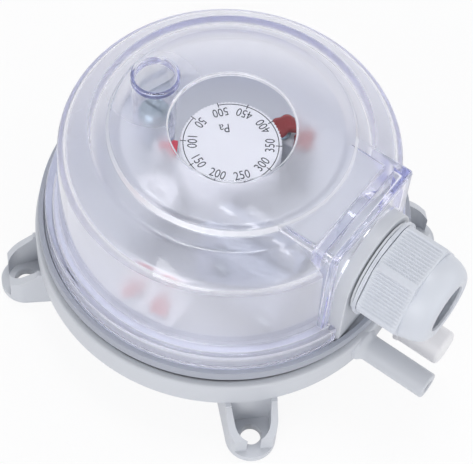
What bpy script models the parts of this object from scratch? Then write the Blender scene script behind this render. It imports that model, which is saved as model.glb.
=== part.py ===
# Differential pressure switch: round housing, clear cover, setting dial and cable gland
# Frame: metres, +Z up along the dial's axis, origin at the centre of the mounting plane, gland towards -Y

import bpy
import bmesh
from math import pi, cos, sin, sqrt, radians
from mathutils import Matrix, Vector

# Clearances
GAP = 0.0003                 # between pieces that seat on each other
SLIP = 0.00015               # round a piece that slides or turns in another
EDGE = 0.0006                # moulded edge radius, drawn as a small flat

# Facets on round pieces
LARGE_STEPS = 40
SMALL_STEPS = 20
TINY_STEPS = 12

# Lower housing: flange ring, pot below it, four mounting cups
FLANGE_RADIUS = 0.0425
FLANGE_HEIGHT = 0.0079
FLANGE_WALL = 0.0020
BASE_DEPTH = 0.0118          # underside of the flange above the mounting plane
FLANGE_OVERHANG = 0.0090     # flange beyond the pot
POT_WALL = 0.0020
SEAL_SHELF = 0.0020          # step from the pot's radius out to the seal wall
SEAL_WALL = 0.0022
SEAL_DEPTH = 0.0014          # seal wall's top below the seam

# Mounting cups
CUP_COUNT = 4
CUP_FIRST_ANGLE = -135.0
CUP_HOLE_OFFSET = 0.0031     # screw holes beyond the flange
CUP_HOLE_RADIUS = 0.0023
CUP_RADIUS = 0.0056          # outer round of the cup about its hole
CUP_FLARE = 0.0006           # how much wider each side is at the flange
CUP_WALL = 0.0016
CUP_FLOOR = 0.0022
CUP_BACK = 0.0008            # cup's back wall inside the flange's radius
CUP_WALL_END = 0.0037        # side walls end this far beyond the hole
CUP_WALL_LOW = 0.0066        # height of the side walls at their end
CUP_CORE = 0.0018            # wall left round the hollow behind the cup

# Pressure nozzles
NOZZLE_RADIUS = 0.0030
NOZZLE_BORE = 0.0013
NOZZLE_SPREAD = 0.0050       # each nozzle beside the gland's plane
NOZZLE_P1_LENGTH = 0.0165    # beyond the flange
NOZZLE_P2_LENGTH = 0.0132
NOZZLE_TIP = 0.0005
PORT_BLOCK_MARGIN = 0.0040
CHANNEL_RADIUS = 0.0009
CROSS_CHANNEL_RADIUS = 0.0007

# Soft cap on the second nozzle
CAP_WALL = 0.0009
CAP_END = 0.0011
CAP_LENGTH = 0.0112

# Upper housing
RIM_STEP = 0.0012            # rim inside the flange's edge
RIM_HEIGHT = 0.0045
RIM_LIP = 0.0008
LEDGE_HEIGHT = 0.0027
FLOOR_THICKNESS = 0.0022
SPIGOT_WALL = 0.0016
SPIGOT_RISE = 0.0017
TURRET_RADIUS = 0.0096
TURRET_HEIGHT = 0.0141
COLUMN_RADIUS = 0.0074
COLUMN_HEIGHT = 0.0062
COLUMN_BORE = 0.0058
COLUMN_FLOOR = 0.0014
KEY_WIDTH = 0.0020
KEY_DEPTH = 0.0007

# Neck that carries the gland
NECK_HEADROOM = 0.0022       # between the neck and the cover's ceiling
NECK_RADIUS = 0.0118
NECK_WALL = 0.0020
NECK_SET_BACK = 0.0024       # neck's face inside the rim
NECK_LENGTH = 0.0089
GLAND_THREAD = 0.0080

# Clear cover
COVER_WALL = 0.0020
COVER_STEP = 0.0012          # cover's flange inside the rim
COVER_FLANGE_WALL = 0.0018
COVER_FLANGE_HEIGHT = 0.0052
COVER_FLANGE_WIDTH = 0.0028
COVER_SIDE_HEIGHT = 0.0204
COVER_DRAFT = 0.0007         # side wall leans in by this much
COVER_SHOULDER_WIDTH = 0.0066
COVER_SHOULDER_HEIGHT = 0.0055
COVER_CHAMFER_WIDTH = 0.0044
COVER_CHAMFER_HEIGHT = 0.0015
WINDOW_RADIUS = 0.0136
WINDOW_RING = 0.0007
WINDOW_RING_HEIGHT = 0.0003
NOSE_HALF_WIDTH = 0.0142
NOSE_WALL = 0.0016
NOSE_SET_BACK = 0.0029       # nose's front face behind the neck's face
NOSE_ROUND = 0.0010
NECK_SLOT_CLEARANCE = 0.0004

# Cover screw and its tube
TUBE_INSET = 0.0053          # tube's centre inside the flat top's edge
TUBE_RADIUS = 0.0053
TUBE_FOOT_RADIUS = 0.0046
TUBE_BORE = 0.0044
TUBE_RIM = 0.0004
TUBE_DEPTH = 0.0152          # screw's seat below the top
TUBE_SHOULDER = 0.0080       # tube's foot below the screw's seat
SCREW_RADIUS = 0.0018
SCREW_HEAD_RADIUS = 0.0035
SCREW_HEAD_HEIGHT = 0.0026
SCREW_TIP_RISE = 0.0022      # screw's tip above the inner floor
SLOT_WIDTH = 0.0008
SLOT_DEPTH = 0.0007
HEAD_SIDE = 0.6              # straight part of a screw head's height
HEAD_TOP = 0.8               # flat top against a screw head's radius
WASHER_THICKNESS = 0.0006
POST_RADIUS = 0.0042
GASKET_THICKNESS = 0.0006

# Diaphragm and its plates
DIAPHRAGM_THICKNESS = 0.0005
DIAPHRAGM_BEAD = 0.0011
PLATE_RADIUS = 0.0240
PLATE_THICKNESS = 0.0011
PLATE_HUB = 0.0040
CONVOLUTION_HEIGHT = 0.0016
CONVOLUTION_STEPS = 5
STEM_RADIUS = 0.0015
STEM_HEAD_RADIUS = 0.0046
STEM_HEAD = 0.0012
STEM_HEAD_RISE = 0.0013      # stem head above the column's floor at rest

# Spring and its seat
SPRING_RADIUS = 0.0040
SPRING_WIRE = 0.00035
SPRING_TURNS = 5
SPRING_LENGTH = 0.0092
SEAT_RADIUS = 0.0054
SEAT_THICKNESS = 0.0030

# Setting knob
KNOB_RADIUS = 0.0109
KNOB_HEIGHT = 0.0096
KNOB_TOP = 0.0030
KNOB_KNURLS = 48
KNURL_DEPTH = 0.00025
KNOB_SPINDLE_RADIUS = 0.0021
KNOB_SPINDLE_END = 0.0020    # spindle's end below the spring seat

# Index pointer on its post
INDEX_ANGLE = 120.0
INDEX_POST_OFFSET = 0.0043   # post beyond the knob's rim
INDEX_POST_SIZE = 0.0024
INDEX_DROP = 0.0035          # pointer below the knob's face
INDEX_THICKNESS = 0.0013
INDEX_WIDTH = 0.0030
INDEX_TIP_GAP = 0.0007       # tip to the knob's rim

# Microswitch, its lever, button and terminals
SWITCH_X = -0.0150
SWITCH_WIDTH = 0.0103
SWITCH_LENGTH = 0.0205
SWITCH_CLEARANCE = 0.0009    # switch's far corner inside the cover's side wall
SWITCH_RISE = 0.0044         # above the inner floor
SWITCH_HEIGHT = 0.0160
SWITCH_WALL = 0.0020
SWITCH_WALL_SHORT = 0.0041   # wall ends this much before the switch's near end
BUTTON_SIZE = 0.0026
BUTTON_LENGTH = 0.0029
BUTTON_REACH = 0.0011        # button below the switch at rest
BUTTON_ROOM = 0.0015         # free depth above the button
BUTTON_ARM = 0.0100          # lever's hinge to the button
PIN_ARM = 0.0140             # lever's hinge to the diaphragm's pin
LEVER_OVERHANG = 0.0020
LEVER_WIDTH = 0.0046
LEVER_THICKNESS = 0.0004
LEVER_ROLL = 0.0006
EAR_SIZE = 0.0012
PIN_RADIUS = 0.0013
PIN_GUIDE_WALL = 0.0018
TERMINAL_WIDTH = 0.0063
TERMINAL_THICKNESS = 0.0008
TERMINAL_HEIGHT = 0.0056
TERMINAL_ROOT = 0.0020
TERMINAL_PITCH = 0.0068
TERMINAL_CORNER = 0.0013
TERMINAL_HOLE = 0.0008
TERMINAL_HOLE_HEIGHT = 0.0034
SWITCH_SCREW_RADIUS = 0.0011
SWITCH_SCREW_HEAD = 0.0021
SWITCH_SCREW_HEAD_HEIGHT = 0.0014

# Trim plate with its two sealed screws, trim screw, sealed stop screws
TRIM_PLATE_INSET = 0.0082    # plate's middle inside the spigot
TRIM_PLATE_Y = -0.0021
TRIM_PLATE_WIDTH = 0.0084
TRIM_PLATE_LENGTH = 0.0150
TRIM_PLATE_THICKNESS = 0.0018
TRIM_PAD_RISE = 0.0020
TRIM_SCREW_SHIFT = -0.0020
TRIM_SCREW_PITCH = 0.0067
TRIM_SCREW_HEAD = 0.0022
TRIM_SCREW_HEIGHT = 0.0013
ADJUSTER_PLACE = (-0.0148, 0.0084)
ADJUSTER_RADIUS = 0.0047
ADJUSTER_HEIGHT = 0.0037
ADJUSTER_SLOT_LENGTH = 0.0052
ADJUSTER_SLOT_WIDTH = 0.0016
ADJUSTER_SLOT_DEPTH = 0.0011
ADJUSTER_POST_RADIUS = 0.0036
ADJUSTER_POST_HEIGHT = 0.0116
STOP_POST_PLACE = (0.0149, -0.0064)
STOP_POST_WIDTH = 0.0050
STOP_POST_LENGTH = 0.0115
STOP_POST_HEIGHT = 0.0146
STOP_SCREW_PITCH = 0.0058
STOP_SCREW_LENGTH = 0.0036
SEAL_SIZES = (1.0, 1.25)     # lacquer drops against the stop screws' heads
LACQUER_HEIGHT = 0.0011
DOT_LOBES = 0.12             # how uneven the lacquer's edge is
SEAL_LOBES = 0.16
DROP_STEPS = 18
DROP_LEVELS = ((1.0, 0.0), (1.04, 0.35), (0.86, 0.8), (0.5, 1.0))  # (share of radius, share of height)

# Housing screws, from below
HOUSING_SCREW_COUNT = 4
HOUSING_SCREW_RADIUS = 0.00125
HOUSING_SCREW_HEAD = 0.0022
HOUSING_SCREW_HEAD_HEIGHT = 0.0009
HOUSING_BOSS_RADIUS = 0.0024

# Gland
COLLAR_RADIUS = 0.0112
COLLAR_THICKNESS = 0.0008
GLAND_GASKET = 0.0005
GLAND_INNER_LENGTH = 0.0048
GLAND_BORE = 0.0052
SEAL_POCKET = 0.0068
CABLE_RADIUS_MAX = 0.0044
SEAL_LENGTH = 0.0062
CLAW_LENGTH = 0.0030
CLAW_COUNT = 8
CLAW_SLIT = 0.0010
CLAW_RING = 0.0010
CLAW_TIP = 0.0007
NUT_FLATS = 0.0214           # across the flats
NUT_CORNER = 0.0116          # radius over the rounded corners
NUT_LENGTH = 0.0152
NUT_DOME = 0.0056            # rounded part of that length
NUT_CLOSING = 0.0057         # nut beyond the gland body's end
NUT_MOUTH = 0.0054
NUT_MOUTH_WALL = 0.0013
NUT_STEPS = 48
DOME_STEPS = 6

# Radii, heights and distances that follow from the sizes above
pot_radius = FLANGE_RADIUS - FLANGE_OVERHANG
seal_inner = pot_radius + SEAL_SHELF
seal_outer = seal_inner + SEAL_WALL
rim_radius = FLANGE_RADIUS - RIM_STEP
cover_flange_radius = rim_radius - COVER_STEP
cover_flange_inner = cover_flange_radius - COVER_FLANGE_WALL
cover_side_radius = cover_flange_radius - COVER_FLANGE_WIDTH
cover_side_top_radius = cover_side_radius - COVER_DRAFT
cover_slope_radius = cover_side_top_radius - COVER_SHOULDER_WIDTH
cover_plateau_radius = cover_slope_radius - COVER_CHAMFER_WIDTH
spigot_outer = cover_flange_inner - GAP
spigot_inner = spigot_outer - SPIGOT_WALL
slot_radius = NECK_RADIUS + NECK_SLOT_CLEARANCE
housing_screw_circle = (seal_outer + FLANGE_RADIUS - FLANGE_WALL) / 2
channel_reach = seal_outer + CHANNEL_RADIUS + GAP
cup_hole_circle = FLANGE_RADIUS + CUP_HOLE_OFFSET

seam_z = BASE_DEPTH + FLANGE_HEIGHT
shelf_z = BASE_DEPTH + POT_WALL
seal_top_z = seam_z - SEAL_DEPTH
nozzle_z = BASE_DEPTH + FLANGE_HEIGHT / 2
rim_bottom_z = seam_z + GAP
rim_top_z = seam_z + RIM_HEIGHT
ledge_z = seam_z + LEDGE_HEIGHT
floor_z = ledge_z + FLOOR_THICKNESS
cover_bottom_z = ledge_z + GASKET_THICKNESS + 2 * GAP
cover_web_z = cover_bottom_z + COVER_FLANGE_HEIGHT
cover_shoulder_z = cover_web_z + COVER_SIDE_HEIGHT
cover_slope_z = cover_shoulder_z + COVER_SHOULDER_HEIGHT
cover_top_z = cover_slope_z + COVER_CHAMFER_HEIGHT
ceiling_z = cover_top_z - COVER_WALL
gland_z = ceiling_z - NECK_HEADROOM - NECK_RADIUS
screw_seat_z = cover_top_z - TUBE_DEPTH
tube_foot_z = screw_seat_z - TUBE_SHOULDER
screw_tip_z = floor_z + SCREW_TIP_RISE
spigot_top_z = floor_z + SPIGOT_RISE
turret_top_z = floor_z + TURRET_HEIGHT
column_top_z = turret_top_z + COLUMN_HEIGHT
column_floor_z = floor_z + COLUMN_FLOOR
diaphragm_z = seal_top_z + GAP + DIAPHRAGM_BEAD / 2
clamp_z = seal_top_z + 2 * GAP + DIAPHRAGM_BEAD
cross_channel_z = (ledge_z + clamp_z) / 2
upper_plate_z = diaphragm_z + DIAPHRAGM_THICKNESS / 2 + GAP
lower_plate_z = diaphragm_z - DIAPHRAGM_THICKNESS / 2 - GAP - PLATE_THICKNESS
stem_head_z = column_floor_z + STEM_HEAD_RISE
spring_z = stem_head_z + STEM_HEAD + GAP
seat_z = spring_z + SPRING_LENGTH + GAP
knob_z = turret_top_z + GAP
index_z = knob_z + KNOB_HEIGHT - INDEX_DROP
switch_bottom_z = floor_z + SWITCH_RISE
switch_top_z = switch_bottom_z + SWITCH_HEIGHT
lever_z = switch_bottom_z - BUTTON_REACH - GAP - LEVER_THICKNESS
trim_pad_z = floor_z + TRIM_PAD_RISE
trim_plate_z = trim_pad_z + GAP
adjuster_z = floor_z + ADJUSTER_POST_HEIGHT + GAP
stop_post_top_z = floor_z + STOP_POST_HEIGHT

nozzle_p1_reach = FLANGE_RADIUS + NOZZLE_P1_LENGTH
nozzle_p2_reach = FLANGE_RADIUS + NOZZLE_P2_LENGTH
neck_face = rim_radius - NECK_SET_BACK
nose_face = neck_face - NOSE_SET_BACK
collar_face = neck_face + 2 * GAP + GLAND_GASKET
nut_face = collar_face + COLLAR_THICKNESS + GAP
nut_reach = nut_face + NUT_LENGTH
nut_dome_start = nut_reach - NUT_DOME
gland_outer_end = nut_reach - NUT_CLOSING
tube_y = cover_plateau_radius - TUBE_INSET
index_post_radius = KNOB_RADIUS + INDEX_POST_OFFSET
switch_corner_radius = cover_side_top_radius - COVER_WALL - SWITCH_CLEARANCE
switch_far_y = -sqrt(switch_corner_radius ** 2 - (abs(SWITCH_X) + SWITCH_WIDTH / 2) ** 2)
switch_near_y = switch_far_y + SWITCH_LENGTH
switch_wall_end = switch_near_y - SWITCH_WALL_SHORT
hinge_y = switch_far_y + EAR_SIZE + LEVER_ROLL
pin_y = hinge_y + PIN_ARM
button_y = hinge_y + BUTTON_ARM
switch_wall_x = SWITCH_X + SWITCH_WIDTH / 2 + GAP
trim_plate_x = TRIM_PLATE_INSET - spigot_inner
trim_screw_x = trim_plate_x + TRIM_SCREW_SHIFT


# Materials
def linear(value):
    return value / 12.92 if value <= 0.04045 else ((value + 0.055) / 1.055) ** 2.4


def material(name, colour, roughness, metallic=0.0, transmission=0.0):
    """A Principled material from an sRGB colour in 0-255 steps."""
    result = bpy.data.materials.new(name)
    result.use_nodes = True
    shader = result.node_tree.nodes["Principled BSDF"]
    rgb = [linear(channel / 255) for channel in colour]
    shader.inputs["Base Color"].default_value = (*rgb, 1.0)
    shader.inputs["Roughness"].default_value = roughness
    shader.inputs["Metallic"].default_value = metallic
    shader.inputs["Transmission Weight"].default_value = transmission
    result.diffuse_color = (*rgb, 1.0)
    return result


def make_materials():
    return {
        "housing": material("grey_housing_plastic", (200, 203, 210), 0.45),
        "gland": material("pale_gland_plastic", (221, 225, 234), 0.5),
        "cover": material("clear_polycarbonate", (236, 238, 248), 0.05, transmission=0.95),
        "knob": material("white_dial_plastic", (228, 231, 238), 0.35),
        "red": material("red_index_plastic", (208, 53, 79), 0.3),
        "lacquer": material("red_sealing_lacquer", (139, 42, 48), 0.2),
        "rubber": material("dark_seal_rubber", (60, 62, 66), 0.8),
        "silicone": material("silicone_diaphragm", (190, 110, 80), 0.6),
        "cap": material("natural_soft_cap", (244, 243, 243), 0.5),
        "switch": material("grey_switch_moulding", (168, 170, 180), 0.5),
        "trim": material("white_inner_plastic", (240, 241, 244), 0.5),
        "steel": material("zinc_plated_steel", (190, 195, 200), 0.3, metallic=1.0),
        "brass": material("tinned_brass", (205, 200, 185), 0.3, metallic=1.0),
        "aluminium": material("pressed_aluminium", (200, 202, 205), 0.4, metallic=1.0),
    }


# Building solids
def clear_scene():
    for item in list(bpy.data.objects):
        bpy.data.objects.remove(item, do_unlink=True)


def finish(bm, name, surface, location=(0, 0, 0), turn=(0, 0, 0)):
    """Turn a bmesh into a named object with outward faces and smooth rounds."""
    bmesh.ops.remove_doubles(bm, verts=bm.verts, dist=1e-7)
    bmesh.ops.recalc_face_normals(bm, faces=bm.faces)
    mesh = bpy.data.meshes.new(name)
    bm.to_mesh(mesh)
    bm.free()
    mesh.materials.append(surface)
    mesh.shade_smooth()
    mesh.set_sharp_from_angle(angle=radians(32))
    item = bpy.data.objects.new(name, mesh)
    item.location = location
    item.rotation_euler = turn
    bpy.context.scene.collection.objects.link(item)
    return item


def turned(profile, steps=SMALL_STEPS):
    """Spin a profile of (radius, height) points about Z; a profile off the axis is closed into a ring."""
    bm = bmesh.new()
    verts = [bm.verts.new((radius, 0, height)) for radius, height in profile]
    edges = [bm.edges.new(pair) for pair in zip(verts, verts[1:])]
    if profile[0][0] > 0 or profile[-1][0] > 0:
        edges.append(bm.edges.new((verts[-1], verts[0])))
    bmesh.ops.spin(bm, geom=verts + edges, cent=(0, 0, 0), axis=(0, 0, 1), angle=2 * pi, steps=steps,
                   use_merge=True)
    bmesh.ops.remove_doubles(bm, verts=bm.verts, dist=1e-7)
    bmesh.ops.recalc_face_normals(bm, faces=bm.faces)
    return bm


def prism(outline, low, high):
    """Extrude a flat outline of (x, y) points from one height to another."""
    bm = bmesh.new()
    face = bm.faces.new([bm.verts.new((x, y, low)) for x, y in outline])
    grown = bmesh.ops.extrude_face_region(bm, geom=[face])
    rising = [part for part in grown["geom"] if isinstance(part, bmesh.types.BMVert)]
    bmesh.ops.translate(bm, verts=rising, vec=(0, 0, high - low))
    bmesh.ops.recalc_face_normals(bm, faces=bm.faces)
    return bm


def block(low, high, bevel=0.0):
    """A box between two corners, with its edges bevelled where a bevel is given."""
    outline = [(low[0], low[1]), (high[0], low[1]), (high[0], high[1]), (low[0], high[1])]
    bm = prism(outline, low[2], high[2])
    if bevel > 0:
        bmesh.ops.bevel(bm, geom=list(bm.edges), offset=bevel, segments=2, profile=0.5, affect="EDGES")
    return bm


def rod(radius, low, high, steps=TINY_STEPS, edge=0.0):
    """A round bar about Z, with its two rims broken by a small flat."""
    if edge > 0:
        return turned([(0, low), (radius - edge, low), (radius, low + edge), (radius, high - edge),
                       (radius - edge, high), (0, high)], steps)
    return turned([(0, low), (radius, low), (radius, high), (0, high)], steps)


def arc(centre, radius, start, end, count):
    """Points on a circle from one angle to another, in degrees."""
    angles = [radians(start + (end - start) * step / count) for step in range(count + 1)]
    return [(centre[0] + radius * cos(angle), centre[1] + radius * sin(angle)) for angle in angles]


def moved(bm, offset=(0, 0, 0), turn=0.0, axis="Z"):
    """Turn a bmesh about an axis through the origin, then shift it."""
    bmesh.ops.rotate(bm, verts=bm.verts, cent=(0, 0, 0), matrix=Matrix.Rotation(turn, 3, axis))
    bmesh.ops.translate(bm, verts=bm.verts, vec=offset)
    return bm


def towards_gland(bm, across=0.0, height=0.0):
    """Lay a shape made about Z along -Y, its heights becoming distances from the dial axis."""
    return moved(bm, (across, 0, height), pi / 2, "X")


def along_y(outline, near, far):
    """Extrude an (x, height) outline from one distance towards the gland to another."""
    return moved(prism(outline, near, far), turn=pi / 2, axis="X")


def gathered(*shapes):
    """Several separate closed shapes in one bmesh."""
    whole = bmesh.new()
    for shape in shapes:
        mesh = bpy.data.meshes.new("gathered")
        shape.to_mesh(mesh)
        shape.free()
        whole.from_mesh(mesh)
        bpy.data.meshes.remove(mesh)
    return whole


def combine(item, shape, operation):
    """Apply one exact Boolean with a bmesh as the other side."""
    mesh = bpy.data.meshes.new("tool")
    shape.to_mesh(mesh)
    shape.free()
    tool = bpy.data.objects.new("tool", mesh)
    bpy.context.scene.collection.objects.link(tool)
    tool.matrix_world = item.matrix_world
    modifier = item.modifiers.new(operation, "BOOLEAN")
    modifier.operation = operation
    modifier.solver = "EXACT"
    modifier.object = tool
    bpy.context.view_layer.update()
    tool.matrix_world = item.matrix_world.copy()
    bpy.context.view_layer.update()
    evaluated = item.evaluated_get(bpy.context.evaluated_depsgraph_get())
    result = bpy.data.meshes.new_from_object(evaluated)
    item.modifiers.clear()
    old = item.data
    result.name = item.name
    item.data = result
    bpy.data.objects.remove(tool, do_unlink=True)
    bpy.data.meshes.remove(mesh)
    bpy.data.meshes.remove(old)
    clean = bmesh.new()
    clean.from_mesh(result)
    bmesh.ops.remove_doubles(clean, verts=clean.verts, dist=1e-6)
    bmesh.ops.dissolve_degenerate(clean, edges=clean.edges, dist=1e-6)
    clean.to_mesh(result)
    clean.free()
    result.shade_smooth()
    result.set_sharp_from_angle(angle=radians(32))
    return item


def cut(item, shape):
    return combine(item, shape, "DIFFERENCE")


def add(item, shape):
    return combine(item, shape, "UNION")


def carved(shape, *tools):
    """Cut shapes out of another shape, which stays a bmesh."""
    item = finish(shape, "blank", None)
    for tool in tools:
        cut(item, tool)
    result = bmesh.new()
    result.from_mesh(item.data)
    bpy.data.objects.remove(item, do_unlink=True)
    return result


def placed_copies(item, base_name, places):
    """Put one mesh at several (location, turn) places, each as its own named object."""
    for number, (location, turn) in enumerate(places, start=1):
        twin = item if number == 1 else item.copy()
        if number > 1:
            bpy.context.scene.collection.objects.link(twin)
        twin.name = f"{base_name}_{number}"
        twin.location = location
        twin.rotation_euler = turn


def screw_shape(radius, head_radius, head_height, length):
    """A slotted screw along Z with its tip down and the underside of its head at height 0."""
    screw = turned([(0, -length), (radius - EDGE / 2, -length), (radius, -length + EDGE), (radius, 0),
                    (head_radius, 0), (head_radius, head_height * HEAD_SIDE),
                    (head_radius * HEAD_TOP, head_height), (0, head_height)], TINY_STEPS)
    slot = block((-SLOT_WIDTH / 2, -2 * head_radius, head_height - SLOT_DEPTH),
                 (SLOT_WIDTH / 2, 2 * head_radius, 2 * head_height))
    return carved(screw, slot)


# Lower housing
def cup_outline(inset, root):
    """Plan of one mounting cup along +X: flared sides and a round end about the screw hole."""
    radius = CUP_RADIUS - inset
    side = radius + CUP_FLARE
    return [(root, -side)] + arc((cup_hole_circle, 0), radius, -85, 85, 12) + [(root, side)]


def mounting_cup():
    """One cup: floor with a hole, back wall, side walls that slope down and stop before the tip."""
    back = FLANGE_RADIUS - CUP_BACK
    end = cup_hole_circle + CUP_WALL_END
    high = BASE_DEPTH * 2
    wide = CUP_RADIUS * 2
    core_side = CUP_RADIUS - CUP_CORE
    outside = prism(cup_outline(0, pot_radius - POT_WALL / 2), 0, BASE_DEPTH + EDGE)
    inside = prism(cup_outline(CUP_WALL, back), CUP_FLOOR, high)
    tip = block((end, -wide, CUP_FLOOR), (end + wide, wide, high))
    slope = [(FLANGE_RADIUS + EDGE, BASE_DEPTH), (end + EDGE, CUP_WALL_LOW), (end + EDGE, high),
             (FLANGE_RADIUS + EDGE, high)]
    hole = moved(rod(CUP_HOLE_RADIUS, -CUP_FLOOR, CUP_FLOOR * 2, SMALL_STEPS), (cup_hole_circle, 0, 0))
    core = block((pot_radius + CUP_CORE / 2, -core_side, -CUP_FLOOR),
                 (back - CUP_CORE, core_side, BASE_DEPTH - CUP_CORE))
    return carved(outside, inside, tip, along_y(slope, -wide, wide), hole, core)


def nozzle_shape(reach, across):
    """The outside of one hose nozzle, from inside the flange wall to its tip."""
    profile = [(0, FLANGE_RADIUS - FLANGE_WALL / 2), (NOZZLE_RADIUS, FLANGE_RADIUS - FLANGE_WALL / 2),
               (NOZZLE_RADIUS, reach - NOZZLE_TIP), (NOZZLE_RADIUS - NOZZLE_TIP, reach), (0, reach)]
    return towards_gland(turned(profile, SMALL_STEPS), across, nozzle_z)


def housing_screw_spots():
    """(x, y) of the screws that hold the two housings together."""
    angles = [2 * pi * step / HOUSING_SCREW_COUNT for step in range(HOUSING_SCREW_COUNT)]
    return [(housing_screw_circle * cos(angle), housing_screw_circle * sin(angle)) for angle in angles]


def screw_ring(make_shape):
    """One shape at each housing screw's place."""
    return gathered(*[moved(make_shape(), (x, y, 0)) for x, y in housing_screw_spots()])


def make_lower_housing(surface):
    inner = FLANGE_RADIUS - FLANGE_WALL
    pot_inner = pot_radius - POT_WALL
    profile = [(0, 0), (pot_radius - EDGE, 0), (pot_radius, EDGE), (pot_radius, BASE_DEPTH),
               (FLANGE_RADIUS - EDGE, BASE_DEPTH), (FLANGE_RADIUS, BASE_DEPTH + EDGE),
               (FLANGE_RADIUS, seam_z - EDGE), (FLANGE_RADIUS - EDGE, seam_z), (inner, seam_z),
               (inner, shelf_z), (seal_outer, shelf_z), (seal_outer, seal_top_z), (seal_inner, seal_top_z),
               (seal_inner, shelf_z), (pot_inner, shelf_z), (pot_inner, POT_WALL), (0, POT_WALL)]
    item = finish(turned(profile, LARGE_STEPS), "lower_housing", surface)
    cups = []
    for step in range(CUP_COUNT):
        angle = radians(CUP_FIRST_ANGLE) + 2 * pi * step / CUP_COUNT
        cups.append(moved(mounting_cup(), turn=angle))
    add(item, gathered(*cups))
    block_half = NOZZLE_SPREAD + PORT_BLOCK_MARGIN
    block_foot = shelf_z - POT_WALL / 2
    add(item, block((-block_half, FLANGE_WALL / 2 - FLANGE_RADIUS, block_foot),
                    (block_half, -seal_outer + SEAL_WALL / 2, seam_z)))
    add(item, screw_ring(lambda: rod(HOUSING_BOSS_RADIUS, block_foot, seam_z, TINY_STEPS)))
    cut(item, rod(seal_outer, seal_top_z + GAP / 2, seam_z + EDGE, LARGE_STEPS))
    add(item, gathered(nozzle_shape(nozzle_p1_reach, -NOZZLE_SPREAD),
                       nozzle_shape(nozzle_p2_reach, NOZZLE_SPREAD)))
    first = towards_gland(rod(NOZZLE_BORE, seal_inner - SEAL_WALL, nozzle_p1_reach + EDGE, TINY_STEPS),
                          -NOZZLE_SPREAD, nozzle_z)
    second = towards_gland(rod(NOZZLE_BORE, channel_reach - NOZZLE_BORE, nozzle_p2_reach + EDGE,
                               TINY_STEPS), NOZZLE_SPREAD, nozzle_z)
    cut(item, gathered(first, second))
    cut(item, moved(rod(CHANNEL_RADIUS, nozzle_z, seam_z + EDGE, TINY_STEPS),
                    (NOZZLE_SPREAD, -channel_reach, 0)))
    shank = HOUSING_SCREW_RADIUS + GAP
    head = HOUSING_SCREW_HEAD + GAP
    recess = BASE_DEPTH + HOUSING_SCREW_HEAD_HEIGHT + GAP
    cut(item, screw_ring(lambda: turned([(0, BASE_DEPTH - EDGE), (head, BASE_DEPTH - EDGE), (head, recess),
                                         (shank, recess), (shank, seam_z + EDGE), (0, seam_z + EDGE)],
                                        TINY_STEPS)))
    return item


# Upper housing
def neck_outline(radius, foot):
    """Section of the gland's neck in (x, height): straight sides under a round top."""
    return [(-radius, foot)] + list(reversed(arc((0, gland_z), radius, 0, 180, 20))) + [(radius, foot)]


def make_upper_housing(surface):
    guide = STEM_RADIUS + SLIP
    lip_inner = seal_inner + GAP
    profile = [(guide, ledge_z), (lip_inner, ledge_z), (lip_inner, clamp_z), (seal_outer, clamp_z),
               (seal_outer, rim_bottom_z), (rim_radius, rim_bottom_z), (rim_radius, rim_top_z - EDGE / 2),
               (rim_radius - EDGE / 2, rim_top_z), (rim_radius - RIM_LIP, rim_top_z),
               (rim_radius - RIM_LIP, ledge_z), (spigot_outer, ledge_z), (spigot_outer, spigot_top_z),
               (spigot_inner, spigot_top_z), (spigot_inner, floor_z), (TURRET_RADIUS, floor_z),
               (TURRET_RADIUS, turret_top_z), (COLUMN_RADIUS, turret_top_z), (COLUMN_RADIUS, column_top_z),
               (COLUMN_BORE, column_top_z), (COLUMN_BORE, column_floor_z), (guide, column_floor_z)]
    item = finish(turned(profile, LARGE_STEPS), "upper_housing", surface)
    neck_back = neck_face - NECK_LENGTH
    add(item, along_y(neck_outline(NECK_RADIUS, ledge_z - GAP), neck_back, neck_face))
    add(item, inner_posts())
    cut(item, along_y(neck_outline(NECK_RADIUS - NECK_WALL, floor_z + GAP), neck_back - NECK_WALL,
                      neck_face - NECK_WALL))
    cut(item, towards_gland(rod(GLAND_THREAD + SLIP, neck_face - 2 * NECK_WALL, neck_face + EDGE,
                                SMALL_STEPS), 0, gland_z))
    cut(item, inner_holes())
    cut(item, towards_gland(rod(CROSS_CHANNEL_RADIUS, lip_inner - SEAL_WALL, channel_reach, TINY_STEPS),
                            NOZZLE_SPREAD, cross_channel_z))
    return item


def inner_posts():
    """Posts and walls that stand on the housing's inner floor."""
    foot = floor_z - FLOOR_THICKNESS / 2
    wall = block((switch_wall_x, switch_far_y, foot),
                 (switch_wall_x + SWITCH_WALL, switch_wall_end, switch_top_z - EDGE))
    cover_post = moved(rod(POST_RADIUS, foot, tube_foot_z - GAP, SMALL_STEPS, EDGE / 2), (0, tube_y, 0))
    adjuster_post = moved(rod(ADJUSTER_POST_RADIUS, foot, adjuster_z - GAP, SMALL_STEPS, EDGE / 2),
                          (*ADJUSTER_PLACE, 0))
    half = INDEX_POST_SIZE / 2
    index_post = moved(block((index_post_radius - half, -half, foot),
                             (index_post_radius + half, half, index_z - GAP)), turn=radians(INDEX_ANGLE))
    half_x = STOP_POST_WIDTH / 2
    half_y = STOP_POST_LENGTH / 2
    stop_post = moved(block((-half_x, -half_y, foot), (half_x, half_y, stop_post_top_z), EDGE),
                      (*STOP_POST_PLACE, 0))
    pads = [moved(rod(TRIM_SCREW_HEAD + EDGE, foot, trim_pad_z, TINY_STEPS), (trim_screw_x, y, 0))
            for y in trim_screw_rows()]
    pin_guide = moved(rod(PIN_RADIUS + PIN_GUIDE_WALL, foot, floor_z + EDGE, TINY_STEPS), (SWITCH_X, pin_y, 0))
    return gathered(wall, cover_post, adjuster_post, index_post, stop_post, pin_guide, *pads)


def trim_screw_rows():
    return [TRIM_PLATE_Y - TRIM_SCREW_PITCH / 2, TRIM_PLATE_Y + TRIM_SCREW_PITCH / 2]


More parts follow.
